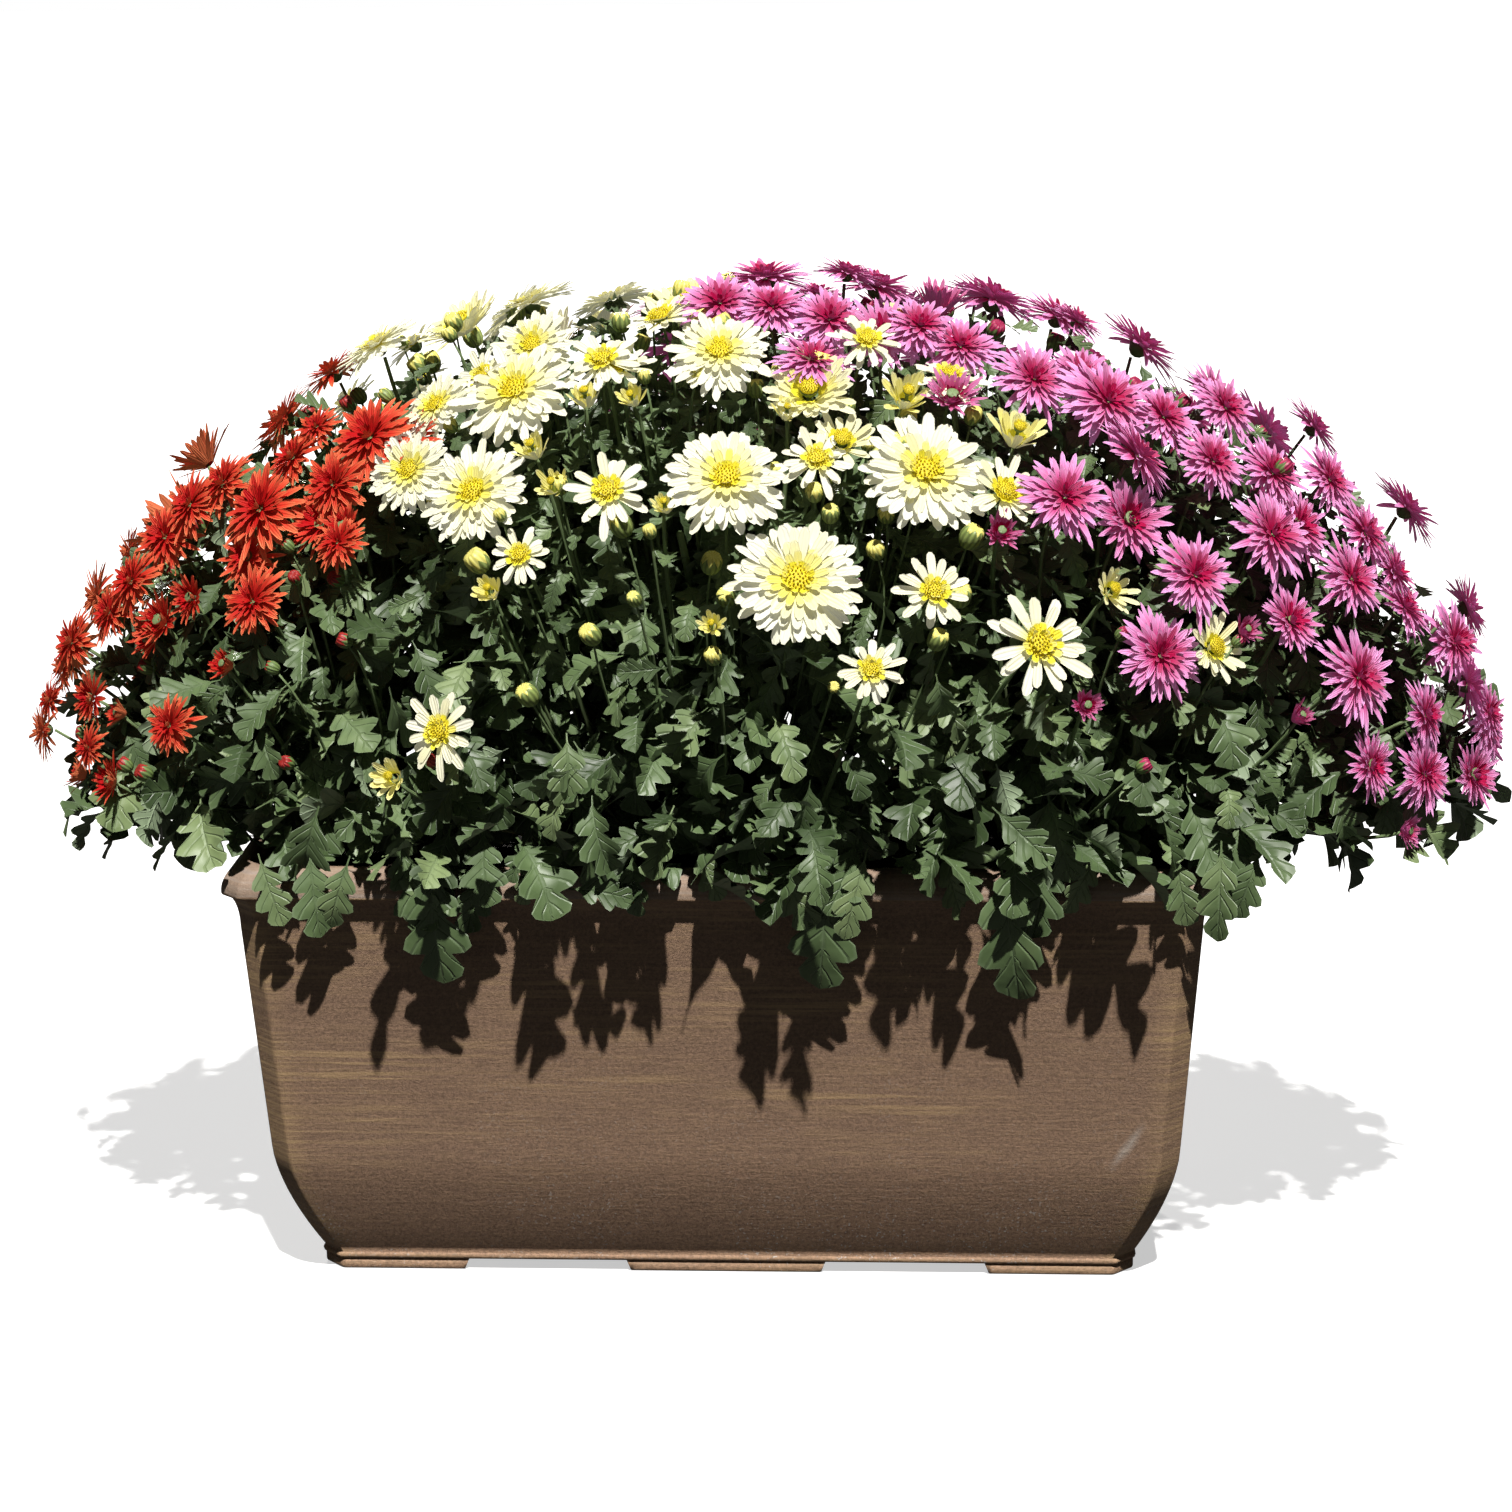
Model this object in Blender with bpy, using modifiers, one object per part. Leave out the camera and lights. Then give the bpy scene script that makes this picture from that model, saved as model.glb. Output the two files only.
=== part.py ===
"""Planted window box: a moulded planter with three garden chrysanthemums, orange, white and pink.

Metres, +Z up, +X to the right, front towards -Y. The origin is the middle of the centre runner's underside,
where the box stands.
"""

import math

import bmesh
import bpy
from mathutils import Matrix, Vector

GAP = 0.0005

# Planter
RIM_LENGTH = 0.568
RIM_DEPTH = 0.250
HEIGHT = 0.258
LIP_OUT = 0.0085
LIP_TALL = 0.017
COVE_TALL = 0.021
CORNER_CHAMFER = 0.012
WALL = 0.005
FLOOR_TOP = 0.0125
BODY_TAPER = 0.0150
BODY_TUCK = 0.0195
TUCK_START = 0.080
TUCK_POWER = 1.6
PLINTH_TOP = 0.0105
RUNNER_TALL = 0.007
CENTRE_RUNNER_HALF = 0.059
OUTER_RUNNER_START = 0.153
RUNNER_CHAMFER = 0.006
DRAIN_RADIUS = 0.006
DRAIN_SPOTS = ((-0.106, -0.04), (-0.106, 0.04), (0.106, -0.04), (0.106, 0.04))

# Soil and root balls
SOIL_TOP = 0.231
SOIL_MOUND = 0.005
ROOT_BALL_DEPTH = 0.085
ROOT_BALL_TOP_RADIUS = 0.052
ROOT_BALL_FOOT_RADIUS = 0.042
SOCKET_RISE = 0.020

# Canopy: the rounded surface on which the open flowers lie
CANOPY_CENTRE = Vector((0.022, 0.010, 0.270))
CANOPY_RADII = Vector((0.440, 0.205, 0.315))
LEAF_DEPTH = 0.030
LEAF_LAYER = 0.015
LEAF_SKIRT = 0.2625

# Flower heads
HEAD_SHARE = 0.80
STALK_RADIUS = 0.0025
HEAD_STEPS = 14

# Each plant: foot of its stems, its petals' colour, and its blooms on the canopy's front and back, each as
# (across, up, spread) in millimetres: where the bloom lies and how wide it is open.
PLANTS = {
    "orange": {
        "foot": (-0.185, 0.010),
        "petal_colour": (0.78, 0.13, 0.03, 1),
        "blooms": (
            (-195, 503, 58),
            (-260, 462, 62),
            (-307, 458, 46),
            (-342, 414, 42),
            (-388, 371, 42),
            (-310, 342, 38),
            (-208, 448, 34),
            (-259, 414, 44),
            (-366, 320, 28),
            (-228, 504, 30),
            (-404, 334, 30),
        ),
        "back_blooms": ((-300, 405, 50),),
    },
    "white": {
        "foot": (0.000, -0.010),
        "petal_colour": (0.86, 0.84, 0.66, 1),
        "blooms": (
            (-112, 530, 70),
            (-132, 478, 62),
            (4, 550, 60),
            (10, 488, 66),
            (-55, 480, 46),
            (60, 496, 42),
            (50, 436, 72),
            (120, 490, 74),
            (-103, 446, 36),
            (124, 428, 42),
            (182, 399, 57),
            (90, 388, 36),
            (-148, 352, 46),
            (-62, 545, 44),
            (86, 554, 40),
        ),
        "back_blooms": ((-236, 430, 56),),
    },
    "pink": {
        "foot": (0.185, 0.010),
        "petal_colour": (0.66, 0.12, 0.33, 1),
        "blooms": (
            (222, 520, 62),
            (196, 474, 54),
            (280, 486, 46),
            (313, 447, 55),
            (268, 430, 50),
            (359, 419, 48),
            (362, 368, 55),
            (424, 374, 52),
            (290, 510, 46),
            (248, 390, 52),
            (116, 560, 46),
            (350, 468, 44),
            (402, 308, 46),
            (446, 330, 38),
            (32, 571, 44),
        ),
        "back_blooms": ((-80, 470, 60), (60, 345, 58), (120, 520, 50), (235, 375, 54), (325, 430, 48)),
    },
}

# The lines, in plan, along which neighbouring plants meet: (across at mid depth, slope against depth)
ORANGE_TO_WHITE = (-0.215, -0.35)
WHITE_TO_PINK = (0.035, -1.20)
PLANT_GAP = 0.002

# Stems
STEMS_PER_PLANT = 8
STEM_FOOT_RADIUS = 0.0048
STEM_TIP_RADIUS = 0.0022
STEM_POINTS = 7
STEM_REACH = 0.93
STEM_START = 0.22
STEM_SPAN = 0.74
STEM_LOW = 0.38
GOLDEN_ANGLE = math.pi * (3 - math.sqrt(5))

# Leaves that trail over the front rim: (across, length, lean in degrees)
TRAILING_LEAVES = ((-0.158, 0.066, 8), (0.062, 0.070, -6), (0.165, 0.076, 10))
TRAILING_THICK = 0.0012
LOBE_PAIRS = 3

POT_COLOUR = (0.115, 0.075, 0.055, 1)
SOIL_COLOUR = (0.030, 0.020, 0.014, 1)
LEAF_COLOUR = (0.045, 0.105, 0.035, 1)
STEM_COLOUR = (0.100, 0.160, 0.060, 1)


def clear_scene():
    for obj in list(bpy.data.objects):
        bpy.data.objects.remove(obj, do_unlink=True)


def new_collection(name):
    collection = bpy.data.collections.new(name)
    bpy.context.scene.collection.children.link(collection)
    return collection


def new_material(name, colour, roughness):
    material = bpy.data.materials.new(name)
    material.use_nodes = True
    shader = material.node_tree.nodes["Principled BSDF"]
    shader.inputs["Base Color"].default_value = colour
    shader.inputs["Roughness"].default_value = roughness
    shader.inputs["Metallic"].default_value = 0.0
    return material


def object_from_bmesh(mesh_data, name, collection):
    mesh = bpy.data.meshes.new(name)
    mesh_data.to_mesh(mesh)
    mesh_data.free()
    obj = bpy.data.objects.new(name, mesh)
    collection.objects.link(obj)
    return obj


def as_cutter(obj):
    obj.hide_render = True
    obj.display_type = "WIRE"
    return obj


def add_boolean(target, operation, tool):
    modifier = target.modifiers.new(operation.title() + "_" + tool.name, "BOOLEAN")
    modifier.operation = operation
    modifier.object = tool
    modifier.solver = "EXACT"
    return modifier


def finish_piece(obj, material, smooth_below=35):
    """Bakes the piece's modifiers into its mesh, so that later pieces can be shaped against it."""
    graph = bpy.context.evaluated_depsgraph_get()
    mesh = bpy.data.meshes.new_from_object(obj.evaluated_get(graph))
    obj.modifiers.clear()
    obj.data = mesh
    mesh.materials.clear()
    mesh.materials.append(material)
    mesh.shade_smooth()
    mesh.set_sharp_from_angle(angle=math.radians(smooth_below))
    return obj


# --- planter -----------------------------------------------------------------------------------------


def chamfered_ring(inset, height):
    """Points of a rectangle with chamfered corners, inset from the body's top outline, at one height."""
    half_x = RIM_LENGTH / 2 - LIP_OUT - inset
    half_y = RIM_DEPTH / 2 - LIP_OUT - inset
    points = []
    for side_x, side_y in ((1, 1), (-1, 1), (-1, -1), (1, -1)):
        on_end = Vector((side_x * half_x, side_y * (half_y - CORNER_CHAMFER), height))
        on_front = Vector((side_x * (half_x - CORNER_CHAMFER), side_y * half_y, height))
        points += [on_end, on_front] if side_x == side_y else [on_front, on_end]
    return points


def loft(rings, name, collection):
    """A closed solid through rings of equal point count, with a face on the first and the last ring."""
    mesh_data = bmesh.new()
    rows = [[mesh_data.verts.new(point) for point in ring] for ring in rings]
    count = len(rows[0])
    for lower, upper in zip(rows, rows[1:]):
        for i in range(count):
            j = (i + 1) % count
            mesh_data.faces.new((lower[i], lower[j], upper[j], upper[i]))
    mesh_data.faces.new(tuple(reversed(rows[0])))
    mesh_data.faces.new(tuple(rows[-1]))
    bmesh.ops.recalc_face_normals(mesh_data, faces=mesh_data.faces)
    return object_from_bmesh(mesh_data, name, collection)


def body_inset(height):
    """How far the wall has drawn in at a height: a straight taper, and near the foot a tuck that grows."""
    shoulder = HEIGHT - LIP_TALL - COVE_TALL
    down = min(max((shoulder - height) / (shoulder - PLINTH_TOP), 0), 1)
    tucked = min(max((TUCK_START - height) / (TUCK_START - PLINTH_TOP), 0), 1)
    return BODY_TAPER * down + BODY_TUCK * tucked**TUCK_POWER


def outer_profile():
    """(inset, height) pairs up the outside: plinth, curved body, cove, and rounded lip."""
    foot = BODY_TAPER + BODY_TUCK
    shoulder = HEIGHT - LIP_TALL - COVE_TALL
    profile = [(foot, 0.0), (foot - 0.001, 0.001), (foot - 0.001, PLINTH_TOP)]
    body_steps = 9
    for step in range(body_steps + 1):
        height = PLINTH_TOP + 0.0008 + (shoulder - PLINTH_TOP - 0.0008) * (step / body_steps) ** 1.3
        profile.append((body_inset(height), height))
    arc_steps = 3
    for step in range(1, arc_steps + 1):
        angle = math.pi / 2 * step / arc_steps
        profile.append(
            (-(LIP_OUT - 0.001) * (1 - math.cos(angle)), shoulder + COVE_TALL * math.sin(angle))
        )
    lip_width = LIP_OUT + WALL - 0.001
    for step in range(arc_steps + 2):
        angle = math.pi / 2 * step / (arc_steps + 1)
        profile.append(
            (
                -LIP_OUT + lip_width * (1 - math.cos(angle)),
                HEIGHT - LIP_TALL + 0.002 + (LIP_TALL - 0.002) * math.sin(angle),
            )
        )
    return profile


def inner_profile(extra=0.0, floor=FLOOR_TOP, top=HEIGHT, steps=7):
    """(inset, height) pairs down the inside of the wall, a wall's thickness in from the body."""
    profile = []
    for step in range(steps + 1):
        height = top + (floor - top) * step / steps
        profile.append((body_inset(height) + WALL + extra, height))
    return profile


def make_planter(collection, cutters, material):
    inner = inner_profile()
    inner[0] = (WALL + 0.0012, HEIGHT - 0.0008)
    profile = outer_profile() + inner
    planter = loft(
        [chamfered_ring(inset, height) for inset, height in profile],
        "planter_box",
        collection,
    )
    for side in (-1, 1):
        add_boolean(planter, "DIFFERENCE", runner_channel(side, cutters))
    for number, (across, depth) in enumerate(DRAIN_SPOTS, 1):
        add_boolean(planter, "DIFFERENCE", drain_cutter(number, across, depth, cutters))
    return finish_piece(planter, material)


def runner_channel(side, cutters):
    """The hollow under the floor between two runners: a long bar with sloping sides."""
    mesh_data = bmesh.new()
    bmesh.ops.create_cube(mesh_data, size=1.0)
    middle = (CENTRE_RUNNER_HALF + OUTER_RUNNER_START) / 2
    half_width = (OUTER_RUNNER_START - CENTRE_RUNNER_HALF) / 2
    for vertex in mesh_data.verts:
        low = vertex.co.z < 0
        width = half_width + (RUNNER_CHAMFER if low else 0)
        vertex.co.x = side * middle + math.copysign(width, vertex.co.x)
        vertex.co.y = math.copysign(RIM_DEPTH, vertex.co.y)
        vertex.co.z = -RUNNER_CHAMFER if low else RUNNER_TALL
    return as_cutter(object_from_bmesh(mesh_data, f"channel_{'left' if side < 0 else 'right'}", cutters))


def drain_cutter(number, across, depth, cutters):
    mesh_data = bmesh.new()
    bmesh.ops.create_cone(
        mesh_data, cap_ends=True, segments=12, radius1=DRAIN_RADIUS, radius2=DRAIN_RADIUS, depth=0.04
    )
    cutter = as_cutter(object_from_bmesh(mesh_data, f"drain_{number}", cutters))
    cutter.location = (across, depth, FLOOR_TOP)
    return cutter


# --- soil and plants ---------------------------------------------------------------------------------


def root_ball(name, foot, grow, rise, collection):
    """A tapered plug of roots, its top level with the soil.

    grow widens it all round and rise carries its taper on above the soil, for the cutter of its socket.
    """
    flare = (ROOT_BALL_TOP_RADIUS - ROOT_BALL_FOOT_RADIUS) / ROOT_BALL_DEPTH
    mesh_data = bmesh.new()
    bmesh.ops.create_cone(
        mesh_data,
        cap_ends=True,
        segments=16,
        radius1=ROOT_BALL_FOOT_RADIUS - flare * grow + grow * 1.1,
        radius2=ROOT_BALL_TOP_RADIUS + flare * rise + grow * 1.1,
        depth=ROOT_BALL_DEPTH + grow + rise,
    )
    plug = object_from_bmesh(mesh_data, name, collection)
    plug.location = (*foot, SOIL_TOP + (rise - grow - ROOT_BALL_DEPTH) / 2)
    return plug


def make_soil(collection, cutters, material):
    inner = inner_profile(extra=GAP, floor=FLOOR_TOP + GAP, top=SOIL_TOP, steps=6)
    rings = [chamfered_ring(inset, height) for inset, height in reversed(inner)]
    edge = body_inset(SOIL_TOP) + WALL + GAP
    mound = chamfered_ring(edge + 0.030, SOIL_TOP + SOIL_MOUND)
    soil = loft(rings + [mound], "potting_soil", collection)
    for name, plant in PLANTS.items():
        socket = as_cutter(root_ball(f"{name}_socket", plant["foot"], GAP, SOCKET_RISE, cutters))
        add_boolean(soil, "DIFFERENCE", socket)
    return finish_piece(soil, material)


def canopy_point(across, up, side):
    """The point of the canopy at this across and height, on the front (side -1) or the back (side 1)."""
    sideways = (across - CANOPY_CENTRE.x) / CANOPY_RADII.x
    upwards = (up - CANOPY_CENTRE.z) / CANOPY_RADII.z
    share = 1 - sideways**2 - upwards**2
    return Vector((across, CANOPY_CENTRE.y + side * CANOPY_RADII.y * math.sqrt(max(share, 0.0)), up))


def canopy_normal(point, radii=CANOPY_RADII):
    away = point - CANOPY_CENTRE
    return Vector([away[i] / radii[i] ** 2 for i in range(3)]).normalized()


def plant_at(across, depth):
    """Which plant owns this spot in plan."""
    for name, (mid, slope) in (("orange", ORANGE_TO_WHITE), ("white", WHITE_TO_PINK)):
        if across < mid + slope * depth:
            return name
    return "pink"


def tube_mesh(points, radii, name, collection):
    """A tapered tube along points, as a closed mesh with its caps welded."""
    curve = bpy.data.curves.new(name, "CURVE")
    curve.dimensions = "3D"
    curve.bevel_depth = 1.0
    curve.bevel_resolution = 1
    curve.use_fill_caps = True
    spline = curve.splines.new("POLY")
    spline.points.add(len(points) - 1)
    for target, point, radius in zip(spline.points, points, radii):
        target.co = (*point, 1)
        target.radius = radius
    drawn = bpy.data.objects.new(name + "_curve", curve)
    collection.objects.link(drawn)
    graph = bpy.context.evaluated_depsgraph_get()
    mesh_data = bmesh.new()
    mesh_data.from_mesh(bpy.data.meshes.new_from_object(drawn.evaluated_get(graph)))
    bmesh.ops.remove_doubles(mesh_data, verts=mesh_data.verts, dist=1e-5)
    bmesh.ops.recalc_face_normals(mesh_data, faces=mesh_data.faces)
    bpy.data.objects.remove(drawn)
    return object_from_bmesh(mesh_data, name, collection)


def stem_targets(name):
    """Where the plant's stems end, just under its share of the leaf layer, in golden-angle order."""
    inner = CANOPY_RADII - Vector((1, 1, 1)) * (LEAF_DEPTH + LEAF_LAYER)
    targets = []
    spiral = 60
    for step in range(spiral):
        lift = max(STEM_LOW, STEM_START + STEM_SPAN * (step + 0.5) / spiral)
        ring = math.sqrt(1 - lift * lift)
        turn = step * GOLDEN_ANGLE
        direction = (ring * math.cos(turn), ring * math.sin(turn), lift)
        point = CANOPY_CENTRE + Vector([inner[i] * direction[i] for i in range(3)]) * STEM_REACH
        if plant_at(point.x, point.y) == name:
            targets.append(point)
    stride = len(targets) / STEMS_PER_PLANT
    return [targets[int(i * stride)] for i in range(STEMS_PER_PLANT)]


def make_stems(name, plant, collection, cutters, material):
    """Root ball, woody crown and the main stems, which arch outwards from it, joined as one growth."""
    stems = root_ball(f"{name}_roots_and_stems", plant["foot"], 0.0, 0.0, collection)
    foot = Vector((*plant["foot"], SOIL_TOP))
    for number, tip in enumerate(stem_targets(name), 1):
        away = Vector((tip.x - foot.x, tip.y - foot.y, 0)).normalized()
        start = foot + away * 0.010 - Vector((0, 0, 0.012))
        bend = foot + Vector(((tip.x - foot.x) * 0.35, (tip.y - foot.y) * 0.35, (tip.z - foot.z) * 0.62))
        points, radii = [], []
        for step in range(STEM_POINTS):
            t = step / (STEM_POINTS - 1)
            points.append(start * (1 - t) ** 2 + bend * 2 * t * (1 - t) + tip * t * t)
            radii.append(STEM_FOOT_RADIUS + (STEM_TIP_RADIUS - STEM_FOOT_RADIUS) * t)
        branch = as_cutter(tube_mesh(points, radii, f"{name}_stem_{number}", cutters))
        add_boolean(stems, "UNION", branch)
    return finish_piece(stems, material)


def canopy_ellipsoid(name, depth, collection):
    """The canopy's own shape, this far below its surface."""
    mesh_data = bmesh.new()
    bmesh.ops.create_uvsphere(mesh_data, u_segments=32, v_segments=20, radius=1.0)
    radii = CANOPY_RADII - Vector((1, 1, 1)) * depth
    bmesh.ops.transform(
        mesh_data,
        matrix=Matrix.Translation(CANOPY_CENTRE) @ Matrix.Diagonal((*radii, 1)),
        verts=mesh_data.verts,
    )
    return object_from_bmesh(mesh_data, name, collection)


def region_prism(name, left, right, cutters):
    """A block over the skirt height that holds one plant's share, between two lines in plan."""
    mesh_data = bmesh.new()
    bmesh.ops.create_cube(mesh_data, size=1.0)
    reach = 1.0
    for vertex in mesh_data.verts:
        vertex.co.y = math.copysign(RIM_DEPTH * 0.9, vertex.co.y)
        line, inward = (left, 1) if vertex.co.x < 0 else (right, -1)
        if line is None:
            vertex.co.x = -inward * reach
        else:
            mid, slope = line
            vertex.co.x = mid + slope * vertex.co.y + inward * PLANT_GAP / 2 * math.hypot(1, slope)
        vertex.co.z = LEAF_SKIRT if vertex.co.z < 0 else reach
    bmesh.ops.recalc_face_normals(mesh_data, faces=mesh_data.faces)
    return as_cutter(object_from_bmesh(mesh_data, name, cutters))


def make_foliage(name, collection, cutters, hollow, material):
    """The plant's leaf layer: a domed shell, open underneath, over its own stems."""
    sides = {
        "orange": (None, ORANGE_TO_WHITE),
        "white": (ORANGE_TO_WHITE, WHITE_TO_PINK),
        "pink": (WHITE_TO_PINK, None),
    }
    foliage = canopy_ellipsoid(f"{name}_leaf_canopy", LEAF_DEPTH, collection)
    add_boolean(foliage, "DIFFERENCE", hollow)
    add_boolean(foliage, "INTERSECT", region_prism(f"{name}_region", *sides[name], cutters))
    return finish_piece(foliage, material)


def bloom_mesh(collection):
    """One flower head of unit radius and unit height: stalk, cup and flat crown, turned round its stalk."""
    profile = ((0.0, 1.0), (0.55, 0.94), (1.0, 0.74), (1.0, 0.62), (STALK_RADIUS / 0.028, 0.0), (0.0, 0.0))
    mesh_data = bmesh.new()
    vertices = [mesh_data.verts.new((radius, 0, height)) for radius, height in profile]
    for first, second in zip(vertices, vertices[1:]):
        mesh_data.edges.new((first, second))
    head = object_from_bmesh(mesh_data, "bloom_head", collection)
    screw = head.modifiers.new("Turn", "SCREW")
    screw.axis = "Z"
    screw.steps = screw.render_steps = HEAD_STEPS
    screw.use_merge_vertices = True
    screw.merge_threshold = 0.0001
    screw.use_normal_calculate = True
    graph = bpy.context.evaluated_depsgraph_get()
    mesh = bpy.data.meshes.new_from_object(head.evaluated_get(graph))
    bpy.data.objects.remove(head)
    mesh.shade_smooth()
    mesh.set_sharp_from_angle(angle=math.radians(35))
    return mesh


def leaf_surface_point(point):
    """The point of the leaf layer's outer surface straight under a canopy point, along its normal."""
    radii = CANOPY_RADII - Vector((1, 1, 1)) * LEAF_DEPTH
    away = point - CANOPY_CENTRE
    scale = 1 / math.sqrt(sum((away[i] / radii[i]) ** 2 for i in range(3)))
    return CANOPY_CENTRE + away * scale


def place_bloom(name, point, spread, shared_mesh, collection, material):
    """Stands one head on the leaf layer, facing out of the canopy, with its crown at the canopy surface."""
    foot = leaf_surface_point(point)
    foot += canopy_normal(foot, CANOPY_RADII - Vector((1, 1, 1)) * LEAF_DEPTH) * GAP * 2
    axis = point - foot
    radius = spread / 2 * HEAD_SHARE
    mesh = shared_mesh.copy()
    tilt = axis.to_track_quat("Z", "Y").to_matrix().to_4x4()
    size = Matrix.Diagonal((radius, radius, axis.length, 1))
    mesh.transform(size)
    mesh.materials.append(material)
    bloom = bpy.data.objects.new(name, mesh)
    bloom.matrix_world = Matrix.Translation(foot) @ tilt
    collection.objects.link(bloom)
    return bloom


def make_blooms(name, plant, shared_mesh, collection, material):
    """All blooms of one plant, first those on the front of the canopy and then those on its back."""
    places = [(bloom, -1) for bloom in plant["blooms"]] + [(bloom, 1) for bloom in plant["back_blooms"]]
    for number, ((across, up, spread), side) in enumerate(places, 1):
        point = canopy_point(across / 1000, up / 1000, side)
        label = f"{name}_bloom_{number:02d}"
        place_bloom(label, point, spread / 1000, shared_mesh, collection, material)


def leaf_outline(length):
    """Half outlines of a lobed leaf, mirrored: forward-pointing lobes on an oval."""
    steps = 4 * LOBE_PAIRS + 2
    edge = []
    for step in range(1, steps):
        along = step / steps
        oval = 0.40 * math.sin(math.pi * along**0.8)
        lobe = 0.72 + 0.28 * math.cos(2 * math.pi * (LOBE_PAIRS + 0.5) * along)
        edge.append((oval * lobe * length, -along * length))
    return [(0.0, 0.0)] + edge + [(0.0, -length)] + [(-x, y) for x, y in reversed(edge)]


def skirt_front(across):
    """Depth of the middle of the leaf layer's front edge, above which the trailing leaves hang."""
    inward = LEAF_DEPTH + LEAF_LAYER / 2
    share = 1 - ((across - CANOPY_CENTRE.x) / (CANOPY_RADII.x - inward)) ** 2
    return CANOPY_CENTRE.y - (CANOPY_RADII.y - inward) * math.sqrt(share)


def make_trailing_leaf(number, across, length, lean, collection, material):
    """A flat lobed leaf that hangs in front of the rim."""
    name = f"trailing_leaf_{number}"
    curve = bpy.data.curves.new(name, "CURVE")
    curve.dimensions = "2D"
    curve.fill_mode = "BOTH"
    curve.extrude = TRAILING_THICK / 2
    spline = curve.splines.new("POLY")
    outline = leaf_outline(length)
    spline.points.add(len(outline) - 1)
    for target, (x, y) in zip(spline.points, outline):
        target.co = (x, y, 0, 1)
    spline.use_cyclic_u = True
    curve.materials.append(material)
    leaf = bpy.data.objects.new(name, curve)
    leaf.rotation_euler = (math.radians(90), math.radians(lean), 0)
    leaf.location = (across, skirt_front(across), LEAF_SKIRT - GAP * 2)
    collection.objects.link(leaf)
    return leaf


def main():
    clear_scene()
    collection = new_collection("planted_window_box")
    cutters = new_collection("cutters")
    leaf = new_material("leaf", LEAF_COLOUR, 0.55)
    stem = new_material("stem", STEM_COLOUR, 0.65)
    make_planter(collection, cutters, new_material("moulded_planter", POT_COLOUR, 0.6))
    make_soil(collection, cutters, new_material("potting_soil", SOIL_COLOUR, 0.95))
    hollow = as_cutter(canopy_ellipsoid("canopy_hollow", LEAF_DEPTH + LEAF_LAYER, cutters))
    head = bloom_mesh(collection)
    for name, plant in PLANTS.items():
        petal = new_material(f"{name}_petal", plant["petal_colour"], 0.6)
        make_stems(name, plant, collection, cutters, stem)
        make_foliage(name, collection, cutters, hollow, leaf)
        make_blooms(name, plant, head, collection, petal)
    for number, (across, length, lean) in enumerate(TRAILING_LEAVES, 1):
        make_trailing_leaf(number, across, length, lean, collection, leaf)


main()
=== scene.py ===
"""Planted window box: the finished look of a bronze-brushed planter with three garden chrysanthemums.

Every surface is a sheet of points worked out from two parameters, along and across, as whole arrays. Lengths
are in metres, +Z is up, and the front looks towards -Y. Petals, leaves, buds and stalks carry a map. Its
first value runs along the piece. Its second runs across it, in one of a few bands that hold its shade.
"""

import math

import bmesh
import bpy
import numpy as np
from bpy.props import FloatProperty, FloatVectorProperty, IntProperty, PointerProperty
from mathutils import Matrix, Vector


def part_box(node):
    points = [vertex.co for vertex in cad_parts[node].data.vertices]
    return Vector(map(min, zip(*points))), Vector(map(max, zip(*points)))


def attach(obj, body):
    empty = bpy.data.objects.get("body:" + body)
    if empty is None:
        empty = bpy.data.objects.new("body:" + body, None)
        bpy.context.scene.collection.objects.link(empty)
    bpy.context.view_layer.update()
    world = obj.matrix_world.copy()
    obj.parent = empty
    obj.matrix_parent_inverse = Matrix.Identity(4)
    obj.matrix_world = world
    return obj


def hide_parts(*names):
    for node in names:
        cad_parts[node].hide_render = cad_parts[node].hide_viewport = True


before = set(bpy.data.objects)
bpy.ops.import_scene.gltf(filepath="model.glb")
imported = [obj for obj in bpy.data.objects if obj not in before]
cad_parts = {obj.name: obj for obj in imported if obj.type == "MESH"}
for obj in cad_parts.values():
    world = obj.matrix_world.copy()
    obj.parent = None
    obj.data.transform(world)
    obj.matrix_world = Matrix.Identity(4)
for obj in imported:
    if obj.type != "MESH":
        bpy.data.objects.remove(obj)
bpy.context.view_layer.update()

bl_info = {
    "name": "Planted Window Box",
    "version": (1, 0, 0),
    "blender": (4, 5, 0),
    "location": "3D View > Sidebar > Window Box",
    "description": "Builds a planted window box: planter, compost, stems, leaves, flowers and buds",
    "category": "Add Mesh",
}

BANDS = 8
PLANTS = ("orange", "white", "pink")
GOLDEN_ANGLE = math.pi * (3 - math.sqrt(5))

# --- places read from the frame ----------------------------------------------------------------------

BOX_LOW, BOX_HIGH = (np.array(corner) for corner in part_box("planter_box"))
SOIL_HIGH = np.array(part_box("potting_soil")[1])
LEAF_BOXES = [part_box(f"{plant}_leaf_canopy") for plant in PLANTS]
LEAF_LOW = np.min([low for low, high in LEAF_BOXES], axis=0)
LEAF_HIGH = np.max([high for low, high in LEAF_BOXES], axis=0)
RIM_TOP = BOX_HIGH[2]
LEAF_SKIRT = LEAF_LOW[2]

# The flowers lie on an ellipsoid, whose leaf layer is this much smaller all round, and whose middle is this
# much above the leaves' lowest edge.
LEAF_DEPTH = 0.030
CANOPY_LIFT = 0.0075
CANOPY_MIDDLE = np.array([*(LEAF_LOW + LEAF_HIGH)[:2] / 2, LEAF_SKIRT + CANOPY_LIFT])
CANOPY_RADII = LEAF_HIGH - CANOPY_MIDDLE + LEAF_DEPTH

# A CAD bloom's radius as a share of its flower's; the way to the light, and how far flowers lean that way
HEAD_SHARE = 0.80
LIGHT_SIDE = np.array([0.10, -0.90, 0.40])
LEAN = 0.75

# Lines in plan where neighbouring plants meet: (across at mid depth, slope against depth)
PLANT_LINES = ((-0.215, -0.35), (0.035, -1.20))
PLANT_FEET = {"orange": (-0.185, 0.010), "white": (0.000, -0.010), "pink": (0.185, 0.010)}

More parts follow.
